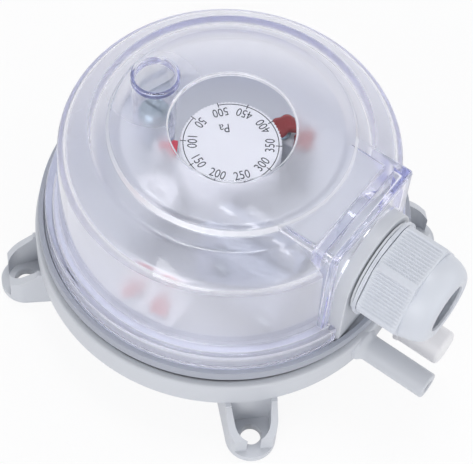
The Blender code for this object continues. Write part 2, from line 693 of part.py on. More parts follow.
def stop_screw_rows():
    return [STOP_POST_PLACE[1] - STOP_SCREW_PITCH / 2, STOP_POST_PLACE[1] + STOP_SCREW_PITCH / 2]


def switch_screw_places():
    """(y, height) of the two screws through the microswitch."""
    inset = SWITCH_SCREW_HEAD + EDGE
    return [(switch_far_y + inset, switch_bottom_z + inset),
            (switch_wall_end - inset, switch_top_z - inset - TERMINAL_ROOT)]


def hole_at(place, radius, low, high):
    """A tool for an upright hole at an (x, y) place."""
    return moved(rod(radius, low, high, TINY_STEPS), (*place, 0))


def inner_holes():
    """Holes in the upper housing: key ways, screws, the diaphragm's pin and the second port's channel."""
    key = KEY_WIDTH / 2 + SLIP
    keyway = block((-COLUMN_BORE - KEY_DEPTH, -key, column_floor_z + EDGE),
                   (COLUMN_BORE + KEY_DEPTH, key, column_top_z + EDGE))
    screw = hole_at((0, tube_y), SCREW_RADIUS + SLIP, screw_tip_z - GAP, tube_foot_z + EDGE)
    pin = hole_at((SWITCH_X, pin_y), PIN_RADIUS + SLIP, ledge_z - EDGE, floor_z + 2 * EDGE)
    channel = hole_at((NOZZLE_SPREAD, -channel_reach), CHANNEL_RADIUS, rim_bottom_z - EDGE,
                      cross_channel_z + CROSS_CHANNEL_RADIUS / 2)
    blind = ledge_z - 2 * GAP
    housing = screw_ring(lambda: rod(HOUSING_SCREW_RADIUS + SLIP, rim_bottom_z - EDGE, blind, TINY_STEPS))
    thread = SWITCH_SCREW_RADIUS + SLIP
    pads = [hole_at((trim_screw_x, y), thread, floor_z + GAP, trim_pad_z + EDGE) for y in trim_screw_rows()]
    stop_low = stop_post_top_z - STOP_SCREW_LENGTH - GAP
    stops = [hole_at((STOP_POST_PLACE[0], y), thread, stop_low, stop_post_top_z + EDGE)
             for y in stop_screw_rows()]
    across = switch_wall_x + SWITCH_WALL + EDGE
    switch = [moved(rod(thread, switch_wall_x - EDGE, across, TINY_STEPS), (0, y, z), pi / 2, "Y")
              for y, z in switch_screw_places()]
    return gathered(keyway, screw, pin, channel, housing, *pads, *stops, *switch)


# Clear cover
def cover_outer_profile():
    web = cover_web_z
    flange = cover_flange_radius
    side = cover_side_radius
    shoulder = cover_side_top_radius
    slope = cover_slope_radius
    plateau = cover_plateau_radius
    ring = WINDOW_RADIUS
    top = cover_top_z
    return [(0, cover_bottom_z), (flange, cover_bottom_z), (flange - EDGE / 3, web - EDGE),
            (flange - EDGE, web), (side + EDGE, web + EDGE / 4), (side, web + EDGE * 5 / 4),
            (shoulder, cover_shoulder_z - EDGE), (shoulder - EDGE / 2, cover_shoulder_z + EDGE / 2),
            (shoulder - EDGE * 2, cover_shoulder_z + EDGE * 2), (slope + EDGE, cover_slope_z - EDGE / 2),
            (slope, cover_slope_z + EDGE / 2), (plateau + EDGE * 2, cover_slope_z + EDGE), (plateau, top),
            (ring + EDGE / 2, top), (ring, top + WINDOW_RING_HEIGHT),
            (ring - WINDOW_RING, top + WINDOW_RING_HEIGHT), (ring - WINDOW_RING - EDGE / 2, top), (0, top)]


def cover_inner_profile():
    wall = COVER_WALL
    web = cover_web_z - wall
    low = cover_bottom_z - EDGE
    return [(0, low), (cover_flange_inner, low), (cover_flange_inner, web), (cover_side_radius - wall, web),
            (cover_side_top_radius - wall, cover_shoulder_z - wall + EDGE),
            (cover_side_top_radius - wall - EDGE * 2, cover_shoulder_z),
            (cover_slope_radius - wall / 2, cover_slope_z - wall),
            (cover_plateau_radius, cover_slope_z - wall / 2), (cover_plateau_radius - wall, ceiling_z),
            (0, ceiling_z)]


def make_cover(surface):
    item = finish(turned(cover_outer_profile(), LARGE_STEPS), "clear_cover", surface)
    nose = block((-NOSE_HALF_WIDTH, -nose_face, cover_web_z - COVER_WALL / 2),
                 (NOSE_HALF_WIDTH, -cover_plateau_radius / 2, cover_top_z))
    front = [edge for edge in nose.edges if all(vert.co.y < -nose_face + EDGE for vert in edge.verts)
             and any(vert.co.z > cover_web_z for vert in edge.verts)]
    bmesh.ops.bevel(nose, geom=front, offset=NOSE_ROUND, segments=2, profile=0.5, affect="EDGES")
    add(item, nose)
    tube = turned([(0, tube_foot_z), (TUBE_FOOT_RADIUS, tube_foot_z), (TUBE_RADIUS, cover_top_z),
                   (TUBE_RADIUS - TUBE_RIM / 2, cover_top_z + TUBE_RIM), (0, cover_top_z + TUBE_RIM)],
                  SMALL_STEPS)
    cut(item, turned(cover_inner_profile(), LARGE_STEPS))
    inner_half = NOSE_HALF_WIDTH - NOSE_WALL
    cut(item, block((-inner_half, -nose_face + NOSE_WALL, cover_web_z - COVER_WALL - EDGE),
                    (inner_half, -cover_plateau_radius / 2 + EDGE, ceiling_z - EDGE / 2)))
    slot = along_y(neck_outline(slot_radius, cover_bottom_z - EDGE), nose_face - 2 * COVER_WALL,
                   cover_flange_radius + EDGE)
    cut(item, slot)
    add(item, moved(tube, (0, tube_y, 0)))
    shank = SCREW_RADIUS + GAP
    well = turned([(0, tube_foot_z - EDGE), (shank, tube_foot_z - EDGE), (shank, screw_seat_z),
                   (TUBE_BORE - EDGE / 2, screw_seat_z), (TUBE_BORE, cover_top_z + 2 * TUBE_RIM),
                   (0, cover_top_z + 2 * TUBE_RIM)], SMALL_STEPS)
    cut(item, moved(well, (0, tube_y, 0)))
    return item


def make_cover_fittings(surfaces):
    washer_z = screw_seat_z + GAP
    inner = SCREW_RADIUS + SLIP
    washer = turned([(inner, washer_z), (SCREW_HEAD_RADIUS, washer_z),
                     (SCREW_HEAD_RADIUS, washer_z + WASHER_THICKNESS), (inner, washer_z + WASHER_THICKNESS)])
    finish(washer, "screw_washer", surfaces["trim"], (0, tube_y, 0))
    head_z = washer_z + WASHER_THICKNESS + GAP
    shape = screw_shape(SCREW_RADIUS, SCREW_HEAD_RADIUS, SCREW_HEAD_HEIGHT, head_z - screw_tip_z)
    finish(shape, "cover_screw", surfaces["steel"], (0, tube_y, head_z))
    low = ledge_z + GAP
    ring_in = spigot_outer + GAP
    ring_out = rim_radius - RIM_LIP - GAP
    high = low + GASKET_THICKNESS
    ring = turned([(ring_in, low), (ring_out, low), (ring_out, high), (ring_in, high)], LARGE_STEPS)
    gasket = finish(ring, "cover_gasket", surfaces["rubber"])
    cut(gasket, block((-slot_radius, -rim_radius, 0), (slot_radius, -neck_face / 2, cover_top_z)))


# Diaphragm and what it carries
def make_diaphragm(surface):
    thin = DIAPHRAGM_THICKNESS / 2
    bead = DIAPHRAGM_BEAD / 2
    outer = seal_outer - GAP
    start = PLATE_RADIUS + EDGE
    end = seal_inner - EDGE
    middle = (start + end) / 2
    span = (end - start) / 2
    waves = [step / CONVOLUTION_STEPS for step in range(1, CONVOLUTION_STEPS)]
    rise = [(middle + span * (2 * wave - 1), CONVOLUTION_HEIGHT * sin(pi * wave)) for wave in waves]
    below = [(PLATE_HUB, -thin), (start, -thin)] + [(r, h - thin) for r, h in rise] + [(end, -thin)]
    above = [(PLATE_HUB, thin), (start, thin)] + [(r, h + thin) for r, h in rise] + [(end, thin)]
    bead_ring = [(outer - SEAL_WALL / 2, -bead), (outer, -bead), (outer, bead), (outer - SEAL_WALL / 2, bead)]
    profile = below + bead_ring + list(reversed(above))
    finish(turned(profile, LARGE_STEPS), "diaphragm", surface, (0, 0, diaphragm_z))


def make_diaphragm_plates(surfaces):
    hub = PLATE_HUB - GAP
    hole = STEM_RADIUS + SLIP
    rim = PLATE_RADIUS
    top = PLATE_THICKNESS
    drop = upper_plate_z - GAP - (lower_plate_z + PLATE_THICKNESS + GAP)
    upper = turned([(hole, -drop), (hub, -drop), (hub, 0), (rim - EDGE / 2, 0), (rim, EDGE / 2), (rim, top),
                    (hole, top)], LARGE_STEPS)
    item = finish(upper, "upper_diaphragm_plate", surfaces["trim"], (0, 0, upper_plate_z))
    pin_top = lever_z - GAP - upper_plate_z
    add(item, moved(rod(PIN_RADIUS, top / 2, pin_top, TINY_STEPS), (SWITCH_X, pin_y, 0)))
    lower = turned([(hole, 0), (rim, 0), (rim, top - EDGE / 2), (rim - EDGE / 2, top), (hole, top)],
                   LARGE_STEPS)
    finish(lower, "lower_diaphragm_plate", surfaces["aluminium"], (0, 0, lower_plate_z))
    foot = lower_plate_z - GAP - stem_head_z
    stem = turned([(0, foot - STEM_HEAD), (STEM_RADIUS * 2, foot - STEM_HEAD), (STEM_RADIUS * 2, foot),
                   (STEM_RADIUS, foot), (STEM_RADIUS, 0), (STEM_HEAD_RADIUS, 0), (STEM_HEAD_RADIUS, STEM_HEAD),
                   (0, STEM_HEAD)], SMALL_STEPS)
    finish(stem, "diaphragm_stem", surfaces["steel"], (0, 0, stem_head_z))


def make_spring(surface):
    """A coil as a round wire swept along a helix, computed turn by turn."""
    sides = 5
    steps = SPRING_TURNS * 12
    pitch = (SPRING_LENGTH - 2 * SPRING_WIRE) / SPRING_TURNS
    bm = bmesh.new()
    rings = []
    for step in range(steps + 1):
        angle = 2 * pi * SPRING_TURNS * step / steps
        centre = Vector((SPRING_RADIUS * cos(angle), SPRING_RADIUS * sin(angle),
                         SPRING_WIRE + pitch * SPRING_TURNS * step / steps))
        outward = Vector((cos(angle), sin(angle), 0))
        ring = []
        for side in range(sides):
            turn = 2 * pi * side / sides
            ring.append(bm.verts.new(centre + outward * SPRING_WIRE * cos(turn)
                                     + Vector((0, 0, SPRING_WIRE * sin(turn)))))
        rings.append(ring)
    ring_walls(bm, rings)
    bm.faces.new(rings[0])
    bm.faces.new(rings[-1])
    finish(bm, "setting_spring", surface, (0, 0, spring_z))


def make_spring_seat(surface):
    bore = KNOB_SPINDLE_RADIUS + SLIP
    item = finish(turned([(bore, 0), (SEAT_RADIUS, 0), (SEAT_RADIUS, SEAT_THICKNESS), (bore, SEAT_THICKNESS)]),
                  "spring_seat", surface, (0, 0, seat_z))
    reach = COLUMN_BORE + KEY_DEPTH - SLIP
    half = KEY_WIDTH / 2
    inside = SEAT_RADIUS - EDGE
    keys = gathered(block((inside, -half, 0), (reach, half, SEAT_THICKNESS)),
                    block((-reach, -half, 0), (-inside, half, SEAT_THICKNESS)))
    add(item, keys)


def ring_walls(bm, rings):
    """Faces between rings of vertices that follow each other."""
    for first, second in zip(rings, rings[1:]):
        for side, vert in enumerate(first):
            following = (side + 1) % len(first)
            bm.faces.new((vert, first[following], second[following], second[side]))


def make_knob(surface):
    """White knob: knurled skirt over the column, flat scale face, spindle down the middle."""
    steps = KNOB_KNURLS * 2
    rim = KNOB_RADIUS - EDGE / 2
    levels = [(rim, 0, KNURL_DEPTH), (KNOB_RADIUS, EDGE / 2, KNURL_DEPTH),
              (KNOB_RADIUS, KNOB_HEIGHT - EDGE / 2, KNURL_DEPTH), (rim, KNOB_HEIGHT, 0)]
    bm = bmesh.new()
    rings = []
    for radius, height, depth in levels:
        ring = []
        for step in range(steps):
            angle = 2 * pi * step / steps
            reach = radius - depth * (step % 2)
            ring.append(bm.verts.new((reach * cos(angle), reach * sin(angle), height)))
        rings.append(ring)
    ring_walls(bm, rings)
    bm.faces.new(rings[0])
    bm.faces.new(rings[-1])
    item = finish(bm, "setting_knob", surface, (0, 0, knob_z))
    cavity = COLUMN_RADIUS + SLIP
    cavity_top = column_top_z + GAP - knob_z
    cut(item, turned([(KNOB_SPINDLE_RADIUS, -EDGE), (cavity, -EDGE), (cavity, cavity_top),
                      (KNOB_SPINDLE_RADIUS, cavity_top)], SMALL_STEPS * 2))
    spindle_end = seat_z - KNOB_SPINDLE_END - knob_z
    spindle_root = cavity_top + KNOB_TOP / 4
    add(item, rod(KNOB_SPINDLE_RADIUS, spindle_end, spindle_root, SMALL_STEPS * 2, EDGE / 2))


def make_index(surface):
    """Red arrow that points at the dial from its post."""
    tip = KNOB_RADIUS + INDEX_TIP_GAP
    back = index_post_radius + INDEX_POST_SIZE / 2
    half = INDEX_WIDTH / 2
    neck = (tip + back) / 2
    outline = [(tip, 0), (neck, -half), (back, -half), (back, half), (neck, half)]
    shape = prism(outline, 0, INDEX_THICKNESS)
    finish(shape, "index_pointer", surface, (0, 0, index_z), (0, 0, radians(INDEX_ANGLE)))


# Microswitch group
def terminal_rows():
    """y of the three terminal tabs."""
    middle = switch_near_y - SWITCH_LENGTH / 2
    return [middle - TERMINAL_PITCH, middle, middle + TERMINAL_PITCH]


def make_microswitch(surfaces):
    half = SWITCH_WIDTH / 2
    case = block((SWITCH_X - half, switch_far_y, switch_bottom_z),
                 (SWITCH_X + half, switch_near_y, switch_top_z), EDGE)
    body = finish(case, "microswitch_body", surfaces["switch"])
    ear_side = half - 2 * EDGE
    ear_end = switch_far_y + 2 * (EAR_SIZE + LEVER_ROLL) - EDGE
    ears = [block((SWITCH_X + side - EAR_SIZE / 2, switch_far_y + EDGE, lever_z - LEVER_ROLL - EDGE),
                  (SWITCH_X + side + EAR_SIZE / 2, ear_end, switch_bottom_z + EAR_SIZE))
            for side in (EAR_SIZE / 2 - ear_side, ear_side - EAR_SIZE / 2)]
    add(body, gathered(*ears))
    hinge_z = lever_z + LEVER_THICKNESS / 2
    hinge_hole = moved(rod(LEVER_ROLL + SLIP, -half * 2, half * 2, TINY_STEPS), turn=pi / 2, axis="Y")
    cut(body, moved(hinge_hole, (SWITCH_X, hinge_y, hinge_z)))
    guide = BUTTON_SIZE / 2 + SLIP
    button_z = switch_bottom_z - BUTTON_REACH
    pockets = [block((SWITCH_X - guide, button_y - guide, switch_bottom_z - EDGE),
                     (SWITCH_X + guide, button_y + guide, button_z + BUTTON_LENGTH + BUTTON_ROOM))]
    slot_x = TERMINAL_THICKNESS / 2 + SLIP
    slot_y = TERMINAL_WIDTH / 2 - EDGE + SLIP
    for y in terminal_rows():
        pockets.append(block((SWITCH_X - slot_x, y - slot_y, switch_top_z - TERMINAL_ROOT - GAP),
                             (SWITCH_X + slot_x, y + slot_y, switch_top_z + EDGE)))
    for y, z in switch_screw_places():
        hole = moved(rod(SWITCH_SCREW_RADIUS + SLIP, -half * 2, half * 2, TINY_STEPS), turn=pi / 2, axis="Y")
        pockets.append(moved(hole, (SWITCH_X, y, z)))
    cut(body, gathered(*pockets))
    size = BUTTON_SIZE / 2
    finish(block((-size, -size, 0), (size, size, BUTTON_LENGTH), EDGE / 3), "switch_button",
           surfaces["red"], (SWITCH_X, button_y, button_z))
    make_lever(surfaces, hinge_z)
    names = ("terminal_closed", "terminal_common", "terminal_open")
    for name, y in zip(names, terminal_rows()):
        make_terminal(name, y, surfaces["brass"])
    grip = SWITCH_WIDTH + GAP + SWITCH_WALL
    shape = screw_shape(SWITCH_SCREW_RADIUS, SWITCH_SCREW_HEAD, SWITCH_SCREW_HEAD_HEIGHT, grip)
    screw = finish(shape, "switch_screw", surfaces["steel"])
    placed_copies(screw, "switch_screw", [((SWITCH_X - half - GAP, y, z), (0, -pi / 2, 0))
                                          for y, z in switch_screw_places()])


def make_lever(surfaces, hinge_z):
    """Leaf with a rolled end that turns in the microswitch's ears."""
    reach = PIN_ARM + LEVER_OVERHANG
    half = LEVER_WIDTH / 2
    thick = LEVER_THICKNESS / 2
    item = finish(block((-half, 0, -thick), (half, reach, thick)), "switch_lever", surfaces["steel"],
                  (SWITCH_X, hinge_y, hinge_z))
    ear_reach = SWITCH_WIDTH / 2
    roll = moved(rod(LEVER_ROLL, -ear_reach, ear_reach, TINY_STEPS), turn=pi / 2, axis="Y")
    add(item, roll)


def make_terminal(name, y, surface):
    """Flat tab with a hole, its narrower root in the microswitch's slot."""
    half = TERMINAL_WIDTH / 2
    root = half - EDGE
    low = -TERMINAL_ROOT
    high = TERMINAL_HEIGHT
    corner = TERMINAL_CORNER
    outline = [(-root, low), (root, low), (root, GAP), (half, GAP), (half, high - corner),
               (half - corner, high), (corner - half, high), (-half, high - corner), (-half, GAP), (-root, GAP)]
    thick = TERMINAL_THICKNESS / 2
    item = finish(moved(prism(outline, -thick, thick), turn=pi / 2, axis="X"), name, surface,
                  (SWITCH_X, y, switch_top_z), (0, 0, pi / 2))
    hole = moved(rod(TERMINAL_HOLE, -thick * 2, thick * 2, TINY_STEPS), turn=pi / 2, axis="X")
    cut(item, moved(hole, (0, 0, TERMINAL_HOLE_HEIGHT)))


# Trim plate, adjuster and stop screws
def lacquer_blob(radius, height, lobes):
    """A flat drop of lacquer with an uneven round edge: two and three lobes added to a circle."""
    bm = bmesh.new()
    rings = []
    for scale, level in DROP_LEVELS:
        ring = []
        for step in range(DROP_STEPS):
            angle = 2 * pi * step / DROP_STEPS
            reach = radius * scale * (1 + lobes * sin(2 * angle + pi / 5) + lobes / 2 * sin(3 * angle))
            ring.append(bm.verts.new((reach * cos(angle), reach * sin(angle), height * level)))
        rings.append(ring)
    ring_walls(bm, rings)
    bm.faces.new(rings[0])
    bm.faces.new(rings[-1])
    bmesh.ops.recalc_face_normals(bm, faces=bm.faces)
    return bm


def make_trim(surfaces):
    half_x = TRIM_PLATE_WIDTH / 2
    half_y = TRIM_PLATE_LENGTH / 2
    plate = finish(block((-half_x, -half_y, 0), (half_x, half_y, TRIM_PLATE_THICKNESS), EDGE / 2), "trim_plate",
                   surfaces["trim"], (trim_plate_x, TRIM_PLATE_Y, trim_plate_z))
    holes = [moved(rod(SWITCH_SCREW_RADIUS + SLIP, -EDGE, TRIM_PLATE_THICKNESS + EDGE, TINY_STEPS),
                   (TRIM_SCREW_SHIFT, y - TRIM_PLATE_Y, 0)) for y in trim_screw_rows()]
    cut(plate, gathered(*holes))
    head_z = trim_plate_z + TRIM_PLATE_THICKNESS + GAP
    length = head_z - trim_pad_z + TRIM_PAD_RISE - 2 * GAP
    shape = screw_shape(SWITCH_SCREW_RADIUS, TRIM_SCREW_HEAD, TRIM_SCREW_HEIGHT, length)
    screw = finish(shape, "trim_plate_screw", surfaces["steel"])
    placed_copies(screw, "trim_plate_screw",
                  [((trim_screw_x, y, head_z), (0, 0, 0)) for y in trim_screw_rows()])
    dot = finish(lacquer_blob(TRIM_SCREW_HEAD, LACQUER_HEIGHT, DOT_LOBES), "lacquer_dot", surfaces["red"])
    dot_z = head_z + TRIM_SCREW_HEIGHT + GAP
    placed_copies(dot, "lacquer_dot", [((trim_screw_x, y, dot_z), (0, 0, pi * number))
                                       for number, y in enumerate(trim_screw_rows())])


def make_adjuster(surfaces):
    item = finish(turned([(0, 0), (ADJUSTER_RADIUS, 0), (ADJUSTER_RADIUS, ADJUSTER_HEIGHT - EDGE),
                          (ADJUSTER_RADIUS - EDGE, ADJUSTER_HEIGHT), (0, ADJUSTER_HEIGHT)]), "range_adjuster",
                  surfaces["trim"], (*ADJUSTER_PLACE, adjuster_z))
    half_x = ADJUSTER_SLOT_WIDTH / 2
    half_y = ADJUSTER_SLOT_LENGTH / 2
    cut(item, block((-half_x, -half_y, ADJUSTER_HEIGHT - ADJUSTER_SLOT_DEPTH),
                    (half_x, half_y, ADJUSTER_HEIGHT * 2)))


def make_stop_screws(surfaces):
    head_z = stop_post_top_z + GAP
    shape = screw_shape(SWITCH_SCREW_RADIUS, SWITCH_SCREW_HEAD, SWITCH_SCREW_HEAD_HEIGHT, STOP_SCREW_LENGTH)
    screw = finish(shape, "stop_screw", surfaces["steel"])
    placed_copies(screw, "stop_screw",
                  [((STOP_POST_PLACE[0], y, head_z), (0, 0, 0)) for y in stop_screw_rows()])
    seal_z = head_z + SWITCH_SCREW_HEAD_HEIGHT + GAP
    for number, (y, size) in enumerate(zip(stop_screw_rows(), SEAL_SIZES), start=1):
        seal = lacquer_blob(SWITCH_SCREW_HEAD * size, LACQUER_HEIGHT * size, SEAL_LOBES)
        finish(seal, f"lacquer_seal_{number}", surfaces["lacquer"], (STOP_POST_PLACE[0], y, seal_z))


def make_housing_screws(surface):
    head_z = BASE_DEPTH + HOUSING_SCREW_HEAD_HEIGHT
    length = ledge_z - 3 * GAP - head_z
    shape = screw_shape(HOUSING_SCREW_RADIUS, HOUSING_SCREW_HEAD, HOUSING_SCREW_HEAD_HEIGHT, length)
    screw = finish(shape, "housing_screw", surface)
    placed_copies(screw, "housing_screw", [((x, y, head_z), (pi, 0, 0)) for x, y in housing_screw_spots()])


# Gland
def hex_radius(angle, flats, corner):
    """Distance from a hexagon's centre to its edge, with corners rounded off at a radius."""
    within = (angle + pi / 6) % (pi / 3) - pi / 6
    return min(flats / 2 / cos(within), corner)


def make_gland(surfaces):
    place = (0, 0, gland_z)
    turn = (pi / 2, 0, 0)
    inner_end = collar_face - GLAND_INNER_LENGTH - 2 * GAP - GLAND_GASKET
    collar_out = collar_face + COLLAR_THICKNESS
    seal_start = gland_outer_end - SEAL_LENGTH
    body = [(GLAND_BORE, inner_end), (GLAND_THREAD - EDGE / 2, inner_end), (GLAND_THREAD, inner_end + EDGE / 2),
            (GLAND_THREAD, collar_face), (COLLAR_RADIUS, collar_face), (COLLAR_RADIUS, collar_out),
            (GLAND_THREAD, collar_out), (GLAND_THREAD, gland_outer_end), (SEAL_POCKET + SLIP, gland_outer_end),
            (SEAL_POCKET + SLIP, seal_start), (GLAND_BORE, seal_start)]
    finish(turned(body, SMALL_STEPS * 2), "gland_body", surfaces["gland"], place, turn)
    low = neck_face + GAP
    ring_in = GLAND_THREAD + GAP
    ring_out = COLLAR_RADIUS - EDGE
    gasket = [(ring_in, low), (ring_out, low), (ring_out, low + GLAND_GASKET), (ring_in, low + GLAND_GASKET)]
    finish(turned(gasket, SMALL_STEPS), "gland_gasket", surfaces["rubber"], place, turn)
    seal_low = seal_start + GAP
    seal_high = gland_outer_end + EDGE
    seal = [(CABLE_RADIUS_MAX + EDGE / 2, seal_low), (SEAL_POCKET, seal_low), (SEAL_POCKET, seal_high),
            (CABLE_RADIUS_MAX + EDGE, seal_high), (CABLE_RADIUS_MAX, seal_high - EDGE),
            (CABLE_RADIUS_MAX, seal_low + EDGE)]
    finish(turned(seal, SMALL_STEPS), "gland_seal", surfaces["rubber"], place, turn)
    make_claws(surfaces["gland"], seal_high + GAP, place, turn)
    make_nut(surfaces["gland"], place, turn)


def nut_inner(distance):
    """Radius of the nut's bore at a distance from the dial axis: straight, then closing to the mouth."""
    start = gland_outer_end + EDGE + GAP
    if distance <= start:
        return GLAND_THREAD + GAP
    share = (distance - start) / (nut_reach - start)
    return GLAND_THREAD + GAP + (NUT_MOUTH - GLAND_THREAD - GAP) * share


def make_claws(surface, low, place, turn):
    """Ring of clamping claws that the closing bore presses onto the seal."""
    high = min(low + CLAW_LENGTH, nut_reach - EDGE)
    outer = nut_inner(low) - 2 * GAP
    outer_end = nut_inner(high) - 2 * GAP
    inner = outer - CLAW_RING
    inner_end = outer_end - CLAW_TIP
    item = finish(turned([(inner, low), (outer, low), (outer_end, high), (inner_end, high)], SMALL_STEPS * 2),
                  "gland_claws", surface, place, turn)
    for step in range(CLAW_COUNT // 2):
        slit = block((-outer * 2, -CLAW_SLIT / 2, low + CLAW_RING), (outer * 2, CLAW_SLIT / 2, high * 2))
        cut(item, moved(slit, turn=2 * pi * step / CLAW_COUNT))


def make_nut(surface, place, turn):
    """Dome nut: hexagon with rounded corners, then a smooth dome down to the mouth."""
    dome = nut_reach - nut_dome_start
    mouth_outer = NUT_MOUTH + NUT_MOUTH_WALL
    outer = [(nut_face, NUT_CORNER - EDGE, True), (nut_face + EDGE, NUT_CORNER, True),
             (nut_dome_start - EDGE, NUT_CORNER, True)]
    flat = NUT_FLATS / 2
    for step in range(DOME_STEPS):
        swing = pi / 2 * step / DOME_STEPS
        radius = mouth_outer + (flat - mouth_outer) * cos(swing)
        outer.append((nut_dome_start + dome * sin(swing), radius, False))
    outer.append((nut_reach, mouth_outer, False))
    inner_start = gland_outer_end + EDGE + GAP
    inner = [(nut_reach, NUT_MOUTH, False), (inner_start, nut_inner(inner_start), False),
             (nut_face, nut_inner(nut_face), False)]
    bm = bmesh.new()
    rings = []
    for distance, radius, hexed in outer + inner:
        ring = []
        for step in range(NUT_STEPS):
            angle = 2 * pi * step / NUT_STEPS
            reach = min(radius, hex_radius(angle, NUT_FLATS, NUT_CORNER)) if hexed else radius
            ring.append(bm.verts.new((reach * cos(angle), reach * sin(angle), distance)))
        rings.append(ring)
    ring_walls(bm, rings + rings[:1])
    finish(bm, "gland_nut", surface, place, turn)


def make_port_cap(surface):
    """Soft cap pushed over the second nozzle."""
    inner = NOZZLE_RADIUS + SLIP
    outer = inner + CAP_WALL
    end = nozzle_p2_reach + GAP + CAP_END
    mouth = end - CAP_LENGTH
    profile = [(inner, mouth), (outer, mouth), (outer, end - EDGE), (outer - EDGE, end), (0, end),
               (0, end - CAP_END), (inner, end - CAP_END)]
    bm = bmesh.new()
    verts = [bm.verts.new((radius, 0, height)) for radius, height in profile]
    edges = [bm.edges.new(pair) for pair in zip(verts, verts[1:] + verts[:1]) if pair[0].co.x > 0 or
             pair[1].co.x > 0]
    bmesh.ops.spin(bm, geom=verts + edges, cent=(0, 0, 0), axis=(0, 0, 1), angle=2 * pi, steps=SMALL_STEPS,
                   use_merge=True)
    finish(bm, "port_cap", surface, (NOZZLE_SPREAD, 0, nozzle_z), (pi / 2, 0, 0))


def main():
    clear_scene()
    surfaces = make_materials()
    make_lower_housing(surfaces["housing"])
    make_upper_housing(surfaces["housing"])
    make_cover(surfaces["cover"])
    make_cover_fittings(surfaces)
    make_diaphragm(surfaces["silicone"])
    make_diaphragm_plates(surfaces)
    make_spring(surfaces["steel"])
    make_spring_seat(surfaces["trim"])
    make_knob(surfaces["knob"])
    make_index(surfaces["red"])
    make_microswitch(surfaces)
    make_trim(surfaces)
    make_adjuster(surfaces)
    make_stop_screws(surfaces)
    make_housing_screws(surfaces["steel"])
    make_gland(surfaces)
    make_port_cap(surfaces["cap"])


main()
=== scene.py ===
import bmesh
import bpy
import numpy as np
from mathutils import Matrix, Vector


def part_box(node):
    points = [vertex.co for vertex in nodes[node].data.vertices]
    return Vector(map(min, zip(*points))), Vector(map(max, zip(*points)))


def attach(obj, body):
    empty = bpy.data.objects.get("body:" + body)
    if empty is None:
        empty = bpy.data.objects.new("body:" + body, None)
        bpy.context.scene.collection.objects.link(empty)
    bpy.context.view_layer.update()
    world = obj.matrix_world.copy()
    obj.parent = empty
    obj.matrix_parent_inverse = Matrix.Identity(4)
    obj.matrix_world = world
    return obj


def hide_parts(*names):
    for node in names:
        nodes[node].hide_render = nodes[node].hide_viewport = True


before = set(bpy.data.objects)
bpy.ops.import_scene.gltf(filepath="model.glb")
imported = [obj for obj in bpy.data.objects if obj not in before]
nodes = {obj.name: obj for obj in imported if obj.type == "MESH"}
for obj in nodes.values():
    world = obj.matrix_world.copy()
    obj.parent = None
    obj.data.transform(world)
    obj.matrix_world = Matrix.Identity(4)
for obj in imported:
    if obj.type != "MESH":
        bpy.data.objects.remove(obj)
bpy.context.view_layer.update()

scene = bpy.context.scene
mm = 0.001
print("frame loaded:", len(nodes), "nodes")


# Colours and nodes
def fromHex(text):  # sRGB hex to the linear values that a shader takes
    share = np.array([int(text[i:i + 2], 16) for i in (1, 3, 5)]) / 255
    linear = np.where(share <= 0.04045, share / 12.92, ((share + 0.055) / 1.055) ** 2.4)
    return (*linear.tolist(), 1.0)


def addNode(material, kind, settings=None, links=None):
    # one node with its values and what feeds it; a node given as a source means its first output
    node = material.node_tree.nodes.new("ShaderNode" + kind)
    for name, value in (settings or {}).items():
        if isinstance(name, int) or name in node.inputs:
            node.inputs[name].default_value = value
        else:
            setattr(node, name, value)
    for name, source in (links or {}).items():
        output = source.outputs[0] if isinstance(source, bpy.types.Node) else source
        material.node_tree.links.new(output, node.inputs[name])
    return node


def newMaterial(name):
    material = bpy.data.materials.new(name)
    material.use_nodes = True
    material.node_tree.nodes.clear()
    return material


# Surfaces
def softened(points, bend, cuts=4, most=0.45):
    # each inner corner becomes a parabola that starts and ends one bend away from it along its two sides,
    # or at most this share of the shorter side
    points = np.array(points, float)
    bend = np.broadcast_to(np.asarray(bend, float), len(points))[1:-1]
    corner, back, ahead = points[1:-1], points[:-2] - points[1:-1], points[2:] - points[1:-1]
    backLength = np.linalg.norm(back, axis=1)
    aheadLength = np.linalg.norm(ahead, axis=1)
    reach = np.minimum(bend, most * np.minimum(backLength, aheadLength))[:, None]
    start = corner + back / backLength[:, None] * reach
    end = corner + ahead / aheadLength[:, None] * reach
    t = np.linspace(0, 1, cuts + 1)[None, :, None]
    bent = (1 - t) ** 2 * start[:, None] + 2 * t * (1 - t) * corner[:, None] + t ** 2 * end[:, None]
    return np.vstack([points[:1], bent.reshape(-1, 2), points[-1:]])


def ringFaces(rows, columns, closed):
    # quads between neighbouring rows; columns close on themselves, and rows too where asked
    row, column = np.meshgrid(np.arange(rows if closed else rows - 1), np.arange(columns), indexing="ij")
    after, across = (row + 1) % rows, (column + 1) % columns
    quads = [row * columns + column, row * columns + across, after * columns + across, after * columns + column]
    return np.stack(quads, axis=-1).reshape(-1, 4)


def meshFrom(name, points, faces, scale=mm):
    mesh = bpy.data.meshes.new(name)
    mesh.from_pydata((np.asarray(points).reshape(-1, 3) * scale).tolist(), [], [list(face) for face in faces])
    cleaned = bmesh.new()
    cleaned.from_mesh(mesh)
    bmesh.ops.remove_doubles(cleaned, verts=cleaned.verts, dist=1e-7)
    bmesh.ops.recalc_face_normals(cleaned, faces=cleaned.faces)
    cleaned.to_mesh(mesh)
    cleaned.free()
    return mesh


def upright(across, along, up):
    return np.stack([across, along, up], axis=-1)


def towardsGland(across, along, up):  # made about Z, then laid along -Y: its heights become distances from the dial
    return np.stack([across, -up, along], axis=-1)


